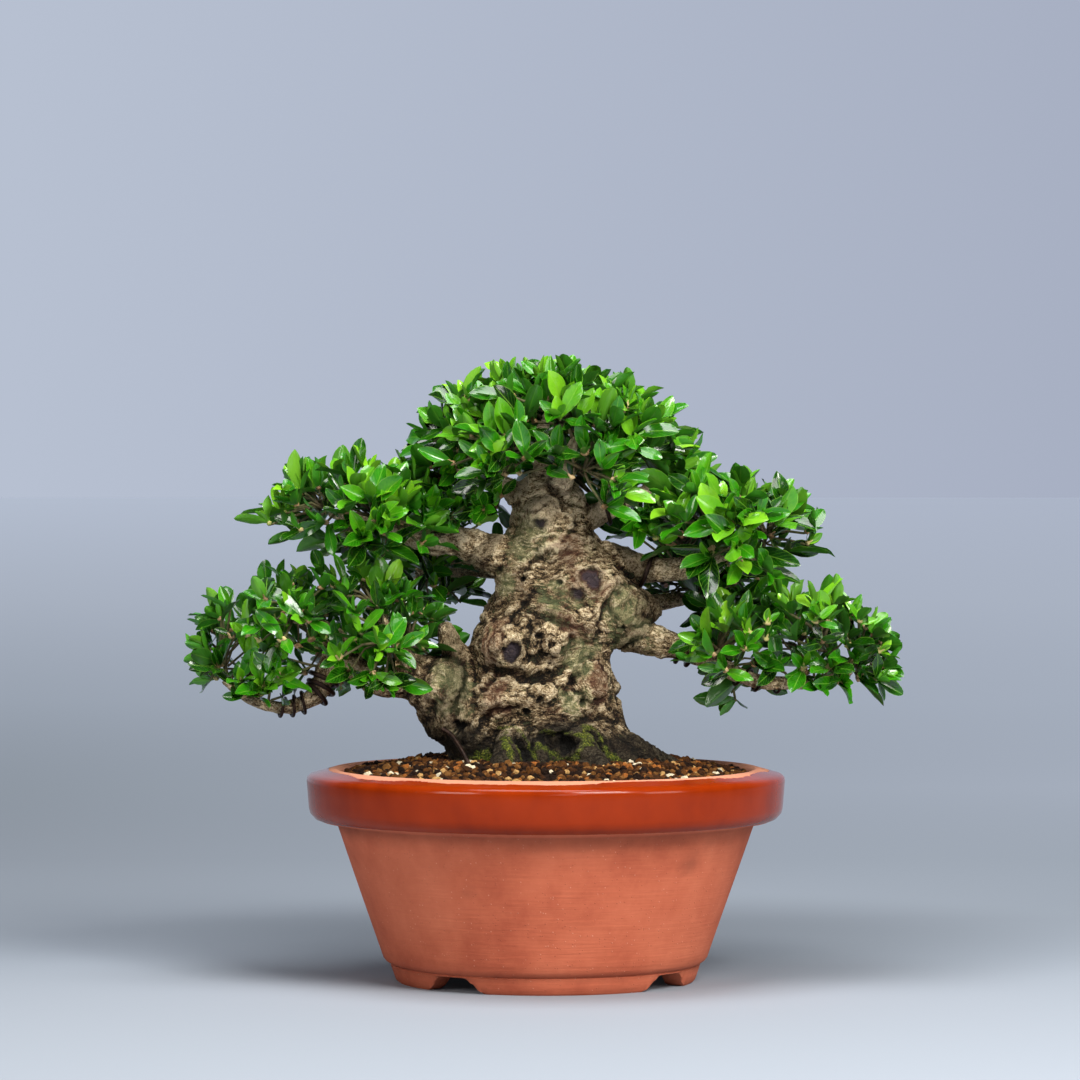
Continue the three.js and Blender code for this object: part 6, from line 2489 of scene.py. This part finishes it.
@dataclass
class Studio:
    """The floor, the soft lights and the camera.

    Args:
        distance: The camera's distance in front of the pot's axis.
        height: The camera's height.
        side: How far it stands to the right of the axis.
        lens: Its focal length.
        pitch: How far it looks down, in degrees.
        aim: The point that the lights face, in metres.
    """

    distance: float = 3000
    height: float = 318
    side: float = -3.45
    lens: float = 159.5
    pitch: float = 0.8
    aim: tuple[float, float, float] = (0.0, 0.0, 0.2)
    lights: tuple[Softbox, ...] = (
        Softbox("key_softbox", (0.8, -1.45, 1.4), 0.8, 50, "#fffdf8"),
        Softbox("fill_softbox", (-1.4, -1.5, 0.85), 0.7, 16, "#fffdf8"),
        Softbox("side_softbox", (1.7, -1.1, 0.7), 0.7, 11, "#fffdf8"),
        Softbox("front_softbox", (0.4, -2.4, 0.62), 0.5, 4, "#fffdf8"),
        Softbox("top_softbox", (-0.1, -0.35, 1.7), 1.0, 25, "#ffffff")
    )
    backdrop: tuple[str, str] = ("#b7c0d1", "#a8b0c3")
    room: str = "#33363c"
    paper: StudioPaper = field(default_factory=StudioPaper)

    def floor(self) -> None:
        """Lays the paper as one wide round sheet."""
        sides = 96
        places = [(0.0, 0.0, 0.0)]
        for side in range(sides):
            angle = side / sides * 2 * math.pi
            places.append((60000 * math.cos(angle), 60000 * math.sin(angle), 0.0))
        faces = [(0, 1 + side, 1 + (side + 1) % sides) for side in range(sides)]
        sheet = new_mesh("paper_floor", places, faces)
        sheet.data.materials.append(self.paper.material())

    def air(self) -> None:
        """Fills the studio with light: a pale backdrop behind the object and a darker room in front."""
        world = bpy.data.worlds.new("studio air")
        world.use_nodes = True
        add = partial(add_node, world.node_tree)
        facing = add("ShaderNodeTexCoord").outputs["Generated"]
        parts = add("ShaderNodeSeparateXYZ", {0: facing})
        across = add(
            "ShaderNodeMapRange", {"Value": parts.outputs["X"], "From Min": -0.11, "From Max": 0.11}
        )
        pale = add(
            "ShaderNodeMix", {0: across, 6: linear(self.backdrop[0]), 7: linear(self.backdrop[1])},
            data_type="RGBA"
        )
        behind = add(
            "ShaderNodeMapRange", {"Value": parts.outputs["Y"], "From Min": 0.35, "From Max": 0.95},
            interpolation_type="SMOOTHSTEP"
        )
        tone = add("ShaderNodeMix", {0: behind, 6: linear(self.room), 7: pale.outputs[2]}, data_type="RGBA")
        feed(world.node_tree.nodes["Background"], {0: tone.outputs[2]})
        bpy.context.scene.world = world
        bpy.context.scene.view_settings.view_transform = "Standard"

    def build(self) -> None:
        """Sets the floor, the air, the lights and the camera."""
        self.floor()
        self.air()
        for softbox in self.lights:
            softbox.hang(self.aim)
        camera = bpy.data.cameras.new("camera")
        camera.lens = self.lens
        camera.sensor_width = 36
        camera.clip_end = 100
        made = bpy.data.objects.new("camera", camera)
        made.location = (self.side * MM, -self.distance * MM, self.height * MM)
        made.rotation_euler = (math.radians(90 - self.pitch), 0, 0)
        bpy.context.scene.collection.objects.link(made)
        bpy.context.scene.camera = made


def main() -> None:
    """Builds every piece in order, then the studio."""
    logging.basicConfig(level=logging.INFO, format="%(name)s %(message)s")
    Pot().build()
    DrainScreen().build()
    wood = Trunk().build()
    SoilBed().build(wood)
    ShapingWires().build()
    Foliage().build(wood)
    Studio().build()


if __name__ == "__main__":
    main()
